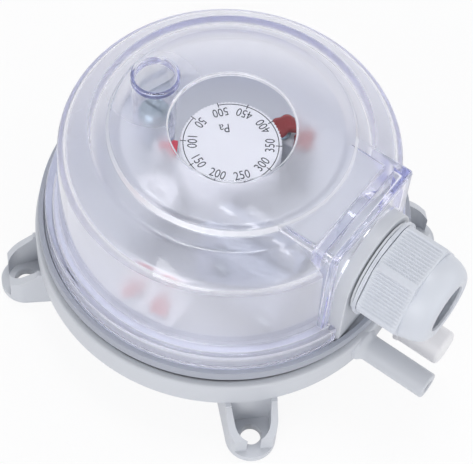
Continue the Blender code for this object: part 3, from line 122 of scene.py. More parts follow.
def lathe(name, profile, steps=192, centre=(0, 0), ripple=0.0, waves=0, laid=upright):
    # radius and height along a profile, turned about an axis; a cosine of the angle takes the ripple off the radius
    profile = np.array(profile, float)
    angle = np.linspace(0, 2 * np.pi, steps, endpoint=False)[None, :]
    depth = np.broadcast_to(np.asarray(ripple, float), len(profile))[:, None]
    radius = profile[:, :1] - depth * (0.5 - 0.5 * np.cos(waves * angle))
    across = centre[0] + radius * np.cos(angle)
    along = centre[1] + radius * np.sin(angle)
    height = np.broadcast_to(profile[:, 1:], across.shape)
    closed = profile[0, 0] > 0 or profile[-1, 0] > 0
    return meshFrom(name, laid(across, along, height), ringFaces(len(profile), steps, closed))


def bar(name, outline, stations, laid=upright):
    # a closed outline carried along its axis; at each station (height, inset) it is drawn in by the inset
    outline = np.array(outline, float)
    along = np.roll(outline, -1, axis=0) - np.roll(outline, 1, axis=0)
    along /= np.linalg.norm(along, axis=1)[:, None]
    area = np.sum(outline[:, 0] * np.roll(outline[:, 1], -1) - np.roll(outline[:, 0], -1) * outline[:, 1])
    inward = np.stack([-along[:, 1], along[:, 0]], axis=1) * np.sign(area)
    stations = np.array(stations, float)
    shape = outline[None] + inward[None] * stations[:, 1][:, None, None]
    height = np.broadcast_to(stations[:, :1], shape.shape[:2])
    count = len(outline)
    sides = ringFaces(len(stations), count, False).tolist()
    last = (len(stations) - 1) * count
    caps = [list(range(count))[::-1], list(range(last, last + count))]
    return meshFrom(name, laid(shape[..., 0], shape[..., 1], height), sides + caps)


def softEnds(low, high, edge, cuts=4, lowEdge=0.0):
    # stations of a bar whose ends are rounded over by an edge radius
    swing = np.linspace(0, np.pi / 2, cuts + 1)
    foot = [(low + lowEdge * (1 - np.cos(a)), lowEdge * (1 - np.sin(a))) for a in swing] if lowEdge else [(low, 0)]
    head = [(high - edge * (1 - np.sin(a)), edge * (1 - np.cos(a))) for a in swing] if edge else [(high, 0)]
    return foot + head


def roundedBox(low, high, radius, cuts=5):  # outline of a rectangle whose four corners are rounded
    swing = np.linspace(0, np.pi / 2, cuts + 1)
    corners = [(high[0] - radius, high[1] - radius, 0), (low[0] + radius, high[1] - radius, 1),
               (low[0] + radius, low[1] + radius, 2), (high[0] - radius, low[1] + radius, 3)]
    turned = [np.stack([x + radius * np.cos(swing + quarter * np.pi / 2),
                        y + radius * np.sin(swing + quarter * np.pi / 2)], axis=1) for x, y, quarter in corners]
    return np.vstack(turned)


def archOutline(radius, foot, height, cuts=48):  # straight sides under a round top, as (across, height)
    swing = np.linspace(0, np.pi, cuts + 1)
    arch = np.stack([radius * np.cos(swing), height + radius * np.sin(swing)], axis=1)
    return np.vstack([arch, [(-radius, foot), (radius, foot)]])


def joined(name, meshes):  # several separate closed shapes in one mesh
    whole = bmesh.new()
    for mesh in meshes:
        whole.from_mesh(mesh)
        bpy.data.meshes.remove(mesh)
    result = bpy.data.meshes.new(name)
    whole.to_mesh(result)
    whole.free()
    return result


def combined(base, tool, operation, mark=None):  # one exact Boolean; with a mark, the tool's faces carry it over
    if mark:
        tool.materials.clear()
        tool.materials.append(mark)
    pair = [bpy.data.objects.new(name, mesh) for name, mesh in (("base", base), ("tool", tool))]
    for item in pair:
        scene.collection.objects.link(item)
    modifier = pair[0].modifiers.new("join", "BOOLEAN")
    modifier.operation = operation
    modifier.solver = "EXACT"
    modifier.object = pair[1]
    modifier.material_mode = "TRANSFER" if mark else "INDEX"
    view = bpy.context.evaluated_depsgraph_get()
    result = bpy.data.meshes.new_from_object(pair[0].evaluated_get(view), depsgraph=view)
    result.name = base.name
    for item in pair:
        bpy.data.objects.remove(item)
    bpy.data.meshes.remove(base)
    bpy.data.meshes.remove(tool)
    cleaned = bmesh.new()
    cleaned.from_mesh(result)
    bmesh.ops.remove_doubles(cleaned, verts=cleaned.verts, dist=1e-6)
    bmesh.ops.dissolve_degenerate(cleaned, edges=cleaned.edges, dist=1e-6)
    cleaned.to_mesh(result)
    cleaned.free()
    return result


def place(name, mesh, material, body, replaced=(), smoothAngle=30):  # one finished piece on its body
    mesh.materials.clear()
    mesh.materials.append(material)
    mesh.shade_smooth()
    mesh.set_sharp_from_angle(angle=np.radians(smoothAngle))
    item = bpy.data.objects.new(name, mesh)
    scene.collection.objects.link(item)
    flatter = item.modifiers.new("flatter", "WEIGHTED_NORMAL")  # wide faces keep their own shade beside small edges
    flatter.keep_sharp = True
    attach(item, body)
    if replaced:
        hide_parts(*replaced)
    print("made", name, len(mesh.polygons), "faces")


# Finishes
plasticLook = dict(flow=14.0, flowDetail=3.0, gritDetail=2.0, glossier=0.05, duller=0.07, bump=0.6)
metalLook = dict(stretch=6.0, streakDetail=4.0, cloud=1.6, cloudDetail=2.0, dim=0.9, bright=1.08, glossier=0.08,
                 duller=0.1, bump=0.4, depth=0.006)


def mouldedPlastic(name, colour, roughness, grain=0.25, depth=0.012, shade=0.03, specular=0.5):
    # spark-eroded moulding: fine satin grain, with a slow drift in tone where the plastic flowed
    look, material = plasticLook, newMaterial(name)
    where = addNode(material, "TexCoord").outputs["Object"]
    flow = addNode(material, "TexNoise", {"Scale": 1 / (look["flow"] * mm), "Detail": look["flowDetail"]},
                   {"Vector": where})
    value = addNode(material, "MapRange", {"To Min": 1 - shade, "To Max": 1 + shade}, {"Value": flow})
    tint = addNode(material, "HueSaturation", {"Color": fromHex(colour)}, {"Value": value})
    grit = addNode(material, "TexNoise", {"Scale": 1 / (grain * mm), "Detail": look["gritDetail"]},
                   {"Vector": where})
    gloss = addNode(material, "MapRange",
                    {"To Min": roughness - look["glossier"], "To Max": roughness + look["duller"]}, {"Value": grit})
    bump = addNode(material, "Bump", {"Strength": look["bump"], "Distance": depth * mm}, {"Height": grit})
    shader = addNode(material, "BsdfPrincipled", {"Specular IOR Level": specular},
                     {"Base Color": tint, "Roughness": gloss, "Normal": bump})
    addNode(material, "OutputMaterial", {}, {"Surface": shader})
    return material


def platedMetal(name, colour, roughness, streak=0.15):
    # plated steel or brass: bright metal with fine drawn streaks and a cloudy passivated tone
    look, material = metalLook, newMaterial(name)
    where = addNode(material, "TexCoord").outputs["Object"]
    stretched = addNode(material, "Mapping", {"Scale": (1.0, 1.0, look["stretch"])}, {"Vector": where})
    lines = addNode(material, "TexNoise", {"Scale": 1 / (streak * mm), "Detail": look["streakDetail"]},
                    {"Vector": stretched})
    cloud = addNode(material, "TexNoise", {"Scale": 1 / (look["cloud"] * mm), "Detail": look["cloudDetail"]},
                    {"Vector": where})
    value = addNode(material, "MapRange", {"To Min": look["dim"], "To Max": look["bright"]}, {"Value": cloud})
    tint = addNode(material, "HueSaturation", {"Color": fromHex(colour)}, {"Value": value})
    gloss = addNode(material, "MapRange",
                    {"To Min": roughness - look["glossier"], "To Max": roughness + look["duller"]}, {"Value": lines})
    bump = addNode(material, "Bump", {"Strength": look["bump"], "Distance": look["depth"] * mm}, {"Height": lines})
    shader = addNode(material, "BsdfPrincipled", {"Metallic": 1.0},
                     {"Base Color": tint, "Roughness": gloss, "Normal": bump})
    addNode(material, "OutputMaterial", {}, {"Surface": shader})
    return material


clearLook = dict(
    ior=1.585,              # polycarbonate
    polish=0.02,            # outside, straight from a polished mould
    frost=0.29,             # inside, fine etched texture that blurs what lies behind
    topVeil=0.10,           # share of light that the etched ceiling scatters back, a thin milky haze
    sideVeil=0.40,          # the same for the side wall, whose texture is coarser
    veilHeights=(46.0, 50.0),                # from the side wall's veil to the ceiling's
    windowEdge=(13.45, 13.75),               # the etching stops at the round window
    tubeMiddle=(-2.0, 19.0), tubeReach=(5.6, 10.6), tubeFrost=0.3,  # it is finer round the screw's tube
    rims=((13.6, 0.22), (26.0, 0.42)),       # white veils painted along the window's and the step's edges as highlights, made matt there too; middle and half width: window, step
    rimHighlightVeil=0.3, rimHighlightFade=0.1, rimsAbove=54.7,
    tint=(0.62, 0.64, 0.97), density=40.0,   # violet only where the eye looks along a wall
    shadow="#eff0f3",       # what the cover lets through to the pieces under it
)


def clearPolycarbonate(name):
    # injection-moulded polycarbonate: glossy outside, etched inside but for the round window, violet in its depth
    look, material = clearLook, newMaterial(name)
    where = addNode(material, "TexCoord").outputs["Object"]
    flat = addNode(material, "VectorMath", {"operation": "MULTIPLY", 1: (1.0, 1.0, 0.0)}, {0: where})
    reach = addNode(material, "VectorMath", {"operation": "LENGTH"}, {0: flat}).outputs["Value"]
    low, high = look["windowEdge"]
    outside = addNode(material, "MapRange", {"From Min": low * mm, "From Max": high * mm}, {"Value": reach})
    inner = addNode(material, "Attribute", {"attribute_name": "etched"}).outputs["Fac"]
    across, along = look["tubeMiddle"]
    fromTube = addNode(material, "VectorMath", {"operation": "DISTANCE", 1: (across * mm, along * mm, 0.0)},
                       {0: flat}).outputs["Value"]
    low, high = look["tubeReach"]
    aroundTube = addNode(material, "MapRange",
                         {"From Min": low * mm, "From Max": high * mm, "To Min": look["tubeFrost"]},
                         {"Value": fromTube})
    etched = addNode(material, "Math", {"operation": "MULTIPLY"}, {0: outside, 1: inner})
    etched = addNode(material, "Math", {"operation": "MULTIPLY"}, {0: etched, 1: aroundTube})
    height = addNode(material, "SeparateXYZ", {}, {"Vector": where}).outputs["Z"]
    low, high = look["veilHeights"]
    haze = addNode(material, "MapRange",
                   {"From Min": low * mm, "From Max": high * mm, "To Min": look["sideVeil"], "To Max": look["topVeil"]},
                   {"Value": height})
    haze = addNode(material, "Math", {"operation": "MULTIPLY"}, {0: haze, 1: etched})
    outer = addNode(material, "Math", {"operation": "SUBTRACT", 0: 1.0}, {1: inner})
    # painted highlight: white veils along the window's and the step's edges on the outer top stand in for the light
    # those edges catch; they are made matt too
    rims = []
    for middle, half in look["rims"]:
        away = addNode(material, "Math", {"operation": "SUBTRACT", 1: middle * mm}, {0: reach})
        away = addNode(material, "Math", {"operation": "ABSOLUTE"}, {0: away})
        fade = {"From Min": (half - look["rimHighlightFade"]) * mm, "From Max": half * mm, "To Min": 1.0, "To Max": 0.0}
        rims.append(addNode(material, "MapRange", fade, {"Value": away}))
    above = addNode(material, "Math", {"operation": "GREATER_THAN", 1: look["rimsAbove"] * mm}, {0: height})
    eitherHighlightRim = addNode(material, "Math", {"operation": "MAXIMUM"}, {0: rims[0], 1: rims[1]})
    top = addNode(material, "Math", {"operation": "MULTIPLY"}, {0: above, 1: outer})
    rim = addNode(material, "Math", {"operation": "MULTIPLY"}, {0: eitherHighlightRim, 1: top})
    matt = addNode(material, "Math", {"operation": "MAXIMUM"}, {0: rim, 1: etched})
    # the etched haze and the painted highlight bands both send part of the light back white
    milky = addNode(material, "Math", {"operation": "MULTIPLY_ADD", 1: look["rimHighlightVeil"]}, {0: rim, 2: haze})
    gloss = addNode(material, "MapRange", {"To Min": look["polish"], "To Max": look["frost"]}, {"Value": matt})
    clear = addNode(material, "Math", {"operation": "SUBTRACT", 0: 1.0}, {1: milky})
    shader = addNode(material, "BsdfPrincipled", {"IOR": look["ior"], "Base Color": (1.0, 1.0, 1.0, 1.0)},
                     {"Roughness": gloss, "Transmission Weight": clear})
    through = addNode(material, "BsdfTransparent", {"Color": fromHex(look["shadow"])})
    path = addNode(material, "LightPath")
    mixed = addNode(material, "MixShader", {}, {0: path.outputs["Is Shadow Ray"], 1: shader, 2: through})
    depth = addNode(material, "VolumeAbsorption", {"Color": (*look["tint"], 1.0), "Density": look["density"]})
    addNode(material, "OutputMaterial", {}, {"Surface": mixed, "Volume": depth})
    return material


# Satin from the mould's fine grain: light grey body, paler bluish gland, even white dial, duller white inside,
# mid-grey switch, glossy red pointer and a soft off-white cap
housingPlastic = mouldedPlastic("mouldedAbsGrey", "#cdd0d6", 0.42, grain=0.35, depth=0.015)
glandPlastic = mouldedPlastic("mouldedPolyamidePale", "#d4d8e0", 0.36, grain=0.3, depth=0.01, shade=0.02)
dialPlastic = mouldedPlastic("mouldedAcetalWhite", "#eeeff3", 0.35, grain=0.5, depth=0.004, shade=0.01)
innerPlastic = mouldedPlastic("mouldedPolyamideWhite", "#eeeff3", 0.42, shade=0.02)
switchPlastic = mouldedPlastic("mouldedPbtGrey", "#b9becb", 0.42)
indexPlastic = mouldedPlastic("mouldedAcetalRed", "#d0354f", 0.28, depth=0.004)
capPlastic = mouldedPlastic("softPvcNatural", "#eeedef", 0.38, grain=0.6, depth=0.01, shade=0.01)
# Dull rubbers with hardly a glint, thin matt ink, and lacquer that dried in lumps and still looks wet
sealRubber = mouldedPlastic("mouldedNitrileRubber", "#55575c", 0.7, depth=0.02, specular=0.3)
paleRubber = mouldedPlastic("mouldedSiliconePale", "#dde0e5", 0.55, depth=0.01, specular=0.4)
# a darker grey for the thin lip over the rim's outer edge
rimLipGrey = mouldedPlastic("mouldedLipGrey", "#a9adb8", 0.5, depth=0.008, specular=0.4)
membrane = mouldedPlastic("mouldedSiliconeSheet", "#c0704f", 0.55, depth=0.01, specular=0.4)
printInk = mouldedPlastic("padPrintedInk", "#2b2f3a", 0.5, grain=0.2, depth=0.003, shade=0.08, specular=0.3)
dotLacquer = mouldedPlastic("driedSealLacquerRed", "#bf3f50", 0.16, grain=0.9, depth=0.05, shade=0.08)
sealLacquer = mouldedPlastic("driedSealLacquerDark", "#8a0f1b", 0.14, grain=0.9, depth=0.09, shade=0.2)
# A cool bluish glint on zinc, plain drawn wire, a paler and softer zinc, matt tin, grey pressed aluminium
platedSteel = platedMetal("zincPlatedSteel", "#a9bcc8", 0.26)
springSteel = platedMetal("drawnSpringSteel", "#aeb2b4", 0.3, streak=0.1)
brightSteel = platedMetal("clearZincPlatedSteel", "#c6ccd3", 0.42)
tinnedBrass = platedMetal("mattTinnedBrass", "#d9dbdf", 0.55)
pressedAluminium = platedMetal("pressedAluminium", "#c9cbcd", 0.38, streak=0.3)
coverPlastic = clearPolycarbonate("clearPolycarbonate")
print("materials made")

# Housing
lowerSizes = dict(
    flangeRadius=42.5, flangeWall=2.0, potRadius=33.5, potWall=2.0, base=11.8, seam=19.6,
    sealInner=35.5, sealOuter=37.7, sealTop=18.3, edge=0.8,
    holeCircle=45.6, holeRadius=2.3, cupRadius=5.6, cupFlare=0.6, cupWall=1.6, cupFloor=2.2, cupBack=41.7,
    wallEnd=3.7, wallLow=6.6, cupEdge=0.45, overlap=0.6, countersink=0.4,
    nozzleRadius=3.0, nozzleBore=1.45, nozzleHeight=15.75, nozzleAcross=5.0, firstReach=59.0, secondReach=55.7,
)


def cupPlan(inset, root, s):  # one mounting cup along +X: flared sides and a round end about the screw hole
    radius = s["cupRadius"] - inset
    swing = np.radians(np.linspace(-85, 85, 33))
    end = np.stack([s["holeCircle"] + radius * np.cos(swing), radius * np.sin(swing)], axis=1)
    side = radius + s["cupFlare"]
    return np.vstack([[(root, -side)], end, [(root, side)]])


def mountingCup(s):
    high = s["base"] + 12
    cup = bar("cup", cupPlan(0, s["potRadius"] - 1, s),
              softEnds(0, s["base"] + s["overlap"], 0, lowEdge=s["cupEdge"]))
    pocket = bar("pocket", cupPlan(s["cupWall"], s["cupBack"], s), [(s["cupFloor"], 0), (high, 0)])
    cup = combined(cup, pocket, "DIFFERENCE")
    end = s["holeCircle"] + s["wallEnd"]
    wide = s["cupRadius"] * 2
    tip = bar("tip", [(end, -wide), (end + wide, -wide), (end + wide, wide), (end, wide)],
              [(s["cupFloor"], 0), (high, 0)])
    cup = combined(cup, tip, "DIFFERENCE")
    start, past = s["flangeRadius"] + s["overlap"], end + s["overlap"]
    slope = [(start, s["base"]), (past, s["wallLow"]), (past, high), (start, high)]
    cup = combined(cup, bar("slope", slope, [(-wide, 0), (wide, 0)], towardsGland), "DIFFERENCE")
    bored = softened([(0, -1), (s["holeRadius"], -1), (s["holeRadius"], s["cupFloor"] - 0.3),
                      (s["holeRadius"] + s["countersink"], s["cupFloor"] + 0.2), (0, s["cupFloor"] + 0.2)], 0.1, 2)
    return combined(cup, lathe("bore", bored, 48, (s["holeCircle"], 0)), "DIFFERENCE")


def turnedMesh(mesh, angle):
    copy = mesh.copy()
    copy.transform(Matrix.Rotation(angle, 4, "Z"))
    return copy


def makeLowerHousing(s):
    inner, potInner = s["flangeRadius"] - s["flangeWall"], s["potRadius"] - s["potWall"]
    shelf = s["base"] + s["potWall"]
    corners = [(0, 0), (s["potRadius"], 0), (s["potRadius"], s["base"]), (s["flangeRadius"], s["base"]),
               (s["flangeRadius"], s["seam"]), (inner, s["seam"]), (inner, shelf), (s["sealOuter"], shelf),
               (s["sealOuter"], s["sealTop"]), (s["sealInner"], s["sealTop"]), (s["sealInner"], shelf),
               (potInner, shelf), (potInner, s["potWall"]), (0, s["potWall"])]
    shell = lathe("lowerHousing", softened(corners, s["edge"]), 256)
    cup = mountingCup(s)
    cups = joined("cups", [turnedMesh(cup, np.radians(-135 + 90 * step)) for step in range(4)])
    bpy.data.meshes.remove(cup)
    shell = combined(shell, cups, "UNION")
    places = [(-s["nozzleAcross"], s["firstReach"]), (s["nozzleAcross"], s["secondReach"])]
    tubes, bores = [], []
    for across, reach in places:
        root = s["flangeRadius"] - s["flangeWall"] / 2
        tube = softened([(0, root), (s["nozzleRadius"] + 0.9, root), (s["nozzleRadius"] + 0.9, s["flangeRadius"] - 0.1),
                         (s["nozzleRadius"], s["flangeRadius"] + 1.0), (s["nozzleRadius"], reach),
                         (0, reach)], [0, 0, 0.3, 0.5, 0.45, 0])
        tubes.append(lathe("tube", tube, 64, (across, s["nozzleHeight"]), laid=towardsGland))
        hole = softened([(0, root + 3), (s["nozzleBore"], root + 3), (s["nozzleBore"], reach - 0.25),
                         (s["nozzleBore"] + 0.3, reach + 0.2), (0, reach + 0.2)], 0.1, 2)
        bores.append(lathe("bore", hole, 48, (across, s["nozzleHeight"]), laid=towardsGland))
    shell = combined(shell, joined("tubes", tubes), "UNION")
    return combined(shell, joined("bores", bores), "DIFFERENCE")


place("lowerHousingShell", makeLowerHousing(lowerSizes), housingPlastic, "housing", ["lower_housing"])

upperSizes = dict(
    rimRadius=41.3, groove=40.7, grooveTop=21.5, rimBottom=20.0, rimTop=24.0, rimLip=0.8, ledge=22.4, floor=24.6,
    lipInner=35.8, sealOuter=37.7, clamp=20.0, spigotOuter=38.0, spigotInner=36.4, spigotTop=26.3,
    turretRadius=9.6, turretTop=38.7, columnRadius=7.4, columnTop=44.9, columnBore=5.8, columnFloor=26.0,
    guide=1.65, edge=0.45,
    neckRadius=11.8, neckWall=2.0, neckFace=38.9, neckBack=30.0, glandHeight=40.2, glandHole=8.15,
    keyReach=6.5, keyHalf=1.15,
)
postSizes = dict(
    coverPost=(4.2, (0, 20.3), 32.7, 0.4),        # round posts: radius, centre, top and chamfer
    adjusterPost=(3.6, (-14.8, 8.4), 36.2, 0.3),
    pinGuide=(3.1, (-15.0, -11.2), 25.2, 0),
    trimPads=(2.8, -30.2, (-5.45, 1.25), 26.6),   # radius, across, rows and top
    wall=((-9.55, -27.0), (-7.55, -10.6), 44.4),  # low corner, high corner and top
    stopPost=((13.1, -12.15), (17.4, -0.65), 39.2),
    indexPost=(2.4, 15.2, 120.0, 44.8),           # side, distance from the dial's axis, angle and top
    screwHole=1.25, coverScrew=1.95, pinHole=1.45, stopRows=(14.9, (-9.3, -3.5)), stopDepth=3.9,
)


def roundPost(foot, radius, centre, top, chamfer=0.0):
    if chamfer:
        profile = [(0, foot), (radius, foot), (radius, top - chamfer), (radius - chamfer, top), (0, top)]
        return lathe("post", profile, 64, centre)
    return lathe("post", [(0, foot), (radius, foot), (radius, top), (0, top)], 48, centre)


def makePosts(s, foot):  # what stands on the inner floor
    posts = [roundPost(foot, *s[name]) for name in ("coverPost", "adjusterPost", "pinGuide")]
    radius, across, rows, top = s["trimPads"]
    posts += [roundPost(foot, radius, (across, row), top) for row in rows]
    low, high, top = s["wall"]
    posts.append(bar("wall", roundedBox(low, high, 0.3), softEnds(foot, top, 0.3)))
    low, high, top = s["stopPost"]
    posts.append(bar("stop", roundedBox(low, high, 0.7), softEnds(foot, top, 0.6)))
    size, reach, angle, top = s["indexPost"]
    stand = bar("stand", roundedBox((reach - size / 2, -size / 2), (reach + size / 2, size / 2), 0.3),
                softEnds(foot, top, 0.25))
    stand.transform(Matrix.Rotation(np.radians(angle), 4, "Z"))
    return joined("posts", posts + [stand])


def makeUpperHousing(s, p):
    corners = [(s["guide"], s["ledge"]), (s["lipInner"], s["ledge"]), (s["lipInner"], s["clamp"]),
               (s["sealOuter"], s["clamp"]), (s["groove"], s["rimBottom"]), (s["groove"], s["grooveTop"]),
               (s["rimRadius"], s["grooveTop"]), (s["rimRadius"], s["rimTop"]),
               (s["rimRadius"] - s["rimLip"], s["rimTop"]), (s["rimRadius"] - s["rimLip"], s["ledge"]),
               (s["spigotOuter"], s["ledge"]), (s["spigotOuter"], s["spigotTop"]),
               (s["spigotInner"], s["spigotTop"]), (s["spigotInner"], s["floor"]), (s["turretRadius"], s["floor"]),
               (s["turretRadius"], s["turretTop"]), (s["columnRadius"], s["turretTop"]),
               (s["columnRadius"], s["columnTop"]), (s["columnBore"], s["columnTop"]),
               (s["columnBore"], s["columnFloor"]), (s["guide"], s["columnFloor"])]
    shell = lathe("upperHousing", softened(corners, s["edge"]), 256)
    neck = bar("neck", archOutline(s["neckRadius"], s["ledge"] - 0.3, s["glandHeight"]),
               softEnds(s["neckBack"], s["neckFace"], 0.35, lowEdge=0.3), towardsGland)
    shell = combined(shell, neck, "UNION")
    shell = combined(shell, makePosts(p, s["floor"] - 1.1), "UNION")
    hollow = bar("hollow", archOutline(s["neckRadius"] - s["neckWall"], s["floor"] + 0.3, s["glandHeight"]),
                 [(s["neckBack"] - 2, 0), (s["neckFace"] - s["neckWall"], 0)], towardsGland)
    shell = combined(shell, hollow, "DIFFERENCE")
    hole = s["glandHole"]
    entry = lathe("entry", [(0, s["neckFace"] - 4), (hole, s["neckFace"] - 4), (hole, s["neckFace"] + 1),
                            (0, s["neckFace"] + 1)], 96, (0, s["glandHeight"]), laid=towardsGland)
    keys = bar("keys", [(-s["keyReach"], -s["keyHalf"]), (s["keyReach"], -s["keyHalf"]),
                        (s["keyReach"], s["keyHalf"]), (-s["keyReach"], s["keyHalf"])],
               [(s["columnFloor"] + 0.6, 0), (s["columnTop"] + 1, 0)])
    drills = [(p["coverScrew"], p["coverPost"][1], s["floor"] + 1.9, p["coverPost"][2] + 1),
              (p["pinHole"], p["pinGuide"][1], s["ledge"] - 1, p["pinGuide"][2] + 1)]
    drills += [(p["screwHole"], (p["trimPads"][1], row), s["floor"] + 0.3, p["trimPads"][3] + 1)
               for row in p["trimPads"][2]]
    across, rows = p["stopRows"]
    top = p["stopPost"][2]
    drills += [(p["screwHole"], (across, row), top - p["stopDepth"], top + 1) for row in rows]
    holes = [lathe("hole", [(0, low), (radius, low), (radius, high), (0, high)], 32, centre)
             for radius, centre, low, high in drills]
    return combined(shell, joined("holes", [entry, keys] + holes), "DIFFERENCE")


place("upperHousingShell", makeUpperHousing(upperSizes, postSizes), housingPlastic, "housing",
      ["upper_housing"])

lipSizes = dict(outer=41.65, inner=40.55, low=21.6, top=24.25, over=0.2, edge=0.2)


def makeRimEdgeLip(s, rim):  # thin lip in a darker grey than the housing, wrapped over the outer edge of the rim
    corners = [(rim, s["low"]), (s["outer"], s["low"]), (s["outer"], s["top"]), (s["inner"], s["top"]),
               (s["inner"], s["top"] - s["over"]), (rim, s["top"] - s["over"])]
    return lathe("lip", softened(corners, [0, s["edge"], s["edge"], 0.08, 0, 0]), 256)


gasketSizes = dict(inner=38.29, outer=40.2, low=22.7, high=23.3, edge=0.15, gapHalf=12.2)


def makeGasket(s):  # flat ring under the cover's flange, open where the nose stands
    corners = [(s["inner"], s["low"]), (s["outer"], s["low"]), (s["outer"], s["high"]), (s["inner"], s["high"]),
               (s["inner"], s["low"])]
    ring = lathe("gasket", softened(corners, s["edge"])[:-1], 256)
    wide, deep = s["gapHalf"], s["outer"] + 1
    gap = bar("gap", [(-wide, -deep), (wide, -deep), (wide, 0), (-wide, 0)], [(s["low"] - 1, 0), (s["high"] + 1, 0)])
    return combined(ring, gap, "DIFFERENCE")


place("coverGasketRing", makeGasket(gasketSizes), paleRubber, "housing", ["cover_gasket"])
place("rimEdgeLip", makeRimEdgeLip(lipSizes, upperSizes["rimRadius"] + 0.02), rimLipGrey, "housing")

# Clear cover
coverSizes = dict(
    bottom=23.6, web=28.8, flangeRadius=40.1, flangeInner=38.3, side=37.3, sideTop=36.6, shoulder=49.2,
    slopeRadius=30.0, slope=54.8, plateau=25.6, top=56.2, ceiling=54.2, wall=2.0,
    windowRadius=13.4, windowSlope=0.4, windowDepth=0.55,
    noseHalf=14.2, noseStart=20.5, noseFace=36.0, noseWall=1.6, noseEdge=0.7, slotRadius=12.2, glandHeight=40.2,
    noseRib=(30.2, 32.2), slotStart=29.4,
    tubeCentre=20.3, tubeRadius=5.3, tubeFootRadius=4.6, tubeFoot=33.0, tubeBore=4.4, tubeRim=0.4, seat=41.0,
    shank=2.1,
)


def coverProfiles(s):
    window = s["windowRadius"]
    outer = softened([(0, s["bottom"]), (s["flangeRadius"], s["bottom"]), (s["flangeRadius"] - 0.1, s["web"]),
                      (s["side"], s["web"] + 0.1), (s["sideTop"], s["shoulder"]),
                      (s["slopeRadius"] + 0.1, s["slope"]), (s["plateau"] + 0.8, s["slope"] + 0.05),
                      (s["plateau"], s["top"]), (window + s["windowSlope"], s["top"]),
                      (window, s["top"] - s["windowDepth"]), (0, s["top"] - s["windowDepth"])],
                     [0, 0.3, 0.7, 0.5, 1.1, 0.35, 0.25, 0.4, 0.12, 0.12, 0], 6)
    wall = s["wall"]
    inner = softened([(0, s["bottom"] - 1), (s["flangeInner"], s["bottom"] - 1), (s["flangeInner"], s["web"] - wall),
                      (s["side"] - wall, s["web"] - wall), (s["sideTop"] - wall, s["shoulder"] - 0.8),
                      (s["slopeRadius"] - 1.0, s["slope"] - wall), (s["plateau"], s["slope"] - wall + 0.9),
                      (s["plateau"] - wall, s["ceiling"]), (0, s["ceiling"])],
                     [0, 0, 0.4, 0.5, 1.4, 0.8, 0.5, 0.5, 0], 6)
    return outer, inner


def makeCover(s):
    outer, inner = coverProfiles(s)
    shell = lathe("cover", outer, 256)
    across = roundedBox((-s["noseHalf"], s["web"] - 1), (s["noseHalf"], s["top"] - 0.03), s["noseEdge"] + 0.1)
    nose = bar("nose", across, softEnds(s["noseStart"], s["noseFace"], s["noseEdge"]), towardsGland)
    shell = combined(shell, nose, "UNION")
    polished, etched = (bpy.data.materials.new(name) for name in ("outside", "inside"))
    shell.materials.clear()
    shell.materials.append(polished)
    hollow = lathe("hollow", inner, 256)
    innerHalf = s["noseHalf"] - s["noseWall"]
    around = roundedBox((-innerHalf, s["web"] - s["wall"] - 0.6), (innerHalf, s["ceiling"] - 0.3), 0.7)
    ribBack, ribFront = s["noseRib"]
    room = bar("room", around, softEnds(s["noseStart"] - 1.5, ribBack, 0.4), towardsGland)
    front = bar("front", around, softEnds(ribFront, s["noseFace"] - s["noseWall"], 0.4, lowEdge=0.4), towardsGland)
    for tool, mark in ((hollow, etched), (room, etched), (front, polished)):
        shell = combined(shell, tool, "DIFFERENCE", mark)
    slot = bar("slot", archOutline(s["slotRadius"], s["bottom"] - 1, s["glandHeight"], 64),
               [(s["slotStart"], 0), (s["flangeRadius"] + 1, 0)], towardsGland)
    shell = combined(shell, slot, "DIFFERENCE", polished)
    rim = s["top"] + s["tubeRim"]
    tube = lathe("tube", softened([(0, s["tubeFoot"]), (s["tubeFootRadius"], s["tubeFoot"]), (s["tubeRadius"], rim),
                                   (0, rim)], [0, 0.3, 0.35, 0]), 96, (0, s["tubeCentre"]))
    shell = combined(shell, tube, "UNION", polished)
    well = lathe("well", softened([(0, s["tubeFoot"] - 1), (s["shank"], s["tubeFoot"] - 1), (s["shank"], s["seat"]),
                                   (s["tubeBore"] - 0.3, s["seat"]), (s["tubeBore"], rim - 0.3),
                                   (s["tubeBore"] + 0.5, rim + 0.3), (0, rim + 0.3)], 0.2), 96, (0, s["tubeCentre"]))
    shell = combined(shell, well, "DIFFERENCE", polished)
    index = np.zeros(len(shell.polygons), np.int32)
    shell.polygons.foreach_get("material_index", index)
    marked = np.isin(index, [number for number, mark in enumerate(shell.materials) if mark == etched])
    shell.attributes.new("etched", "FLOAT", "FACE").data.foreach_set("value", marked.astype(np.float32))
    shell.polygons.foreach_set("material_index", np.zeros(len(index), np.int32))
    return shell


place("coverShell", makeCover(coverSizes), coverPlastic, "cover", ["clear_cover"], smoothAngle=26)

# Setting knob and its print
knobSizes = dict(
    bottom=39.0, face=48.9, radius=10.9, cavity=7.55, cavityTop=45.2, spindle=2.1, spindleEnd=36.3,
    knurls=84, knurlDepth=0.32, edge=0.35,
)


def makeKnob(s):
    corners = [(0, s["spindleEnd"]), (s["spindle"], s["spindleEnd"]), (s["spindle"], s["cavityTop"]),
               (s["cavity"], s["cavityTop"]), (s["cavity"], s["bottom"]), (s["radius"], s["bottom"]),
               (s["radius"], s["face"]), (0, s["face"])]
    profile = softened(corners, [0, 0.4, 0.3, 0.3, 0.2, s["edge"], s["edge"], 0], 4)
    ripple = np.clip((profile[:, 0] - s["radius"] + s["edge"]) / s["edge"], 0, 1) * s["knurlDepth"]
    return lathe("knob", profile, s["knurls"] * 8, ripple=ripple, waves=s["knurls"])


place("dialKnob", makeKnob(knobSizes), dialPlastic, "dial", ["setting_knob"])

printSizes = dict(
    ringRadius=10.15, ringWidth=0.2, ringStart=88.5, ringSweep=324.0, ringSteps=217, thickness=0.02,
    numbers=10, each=50, numberRadius=8.2, numberSize=2.95, numberWidth=0.80, tickLength=1.3, tickWidth=0.2,
    unit="Pa", unitPlace=(2.24, 3.4), unitSize=3.1, unitTurn=134.0,
)


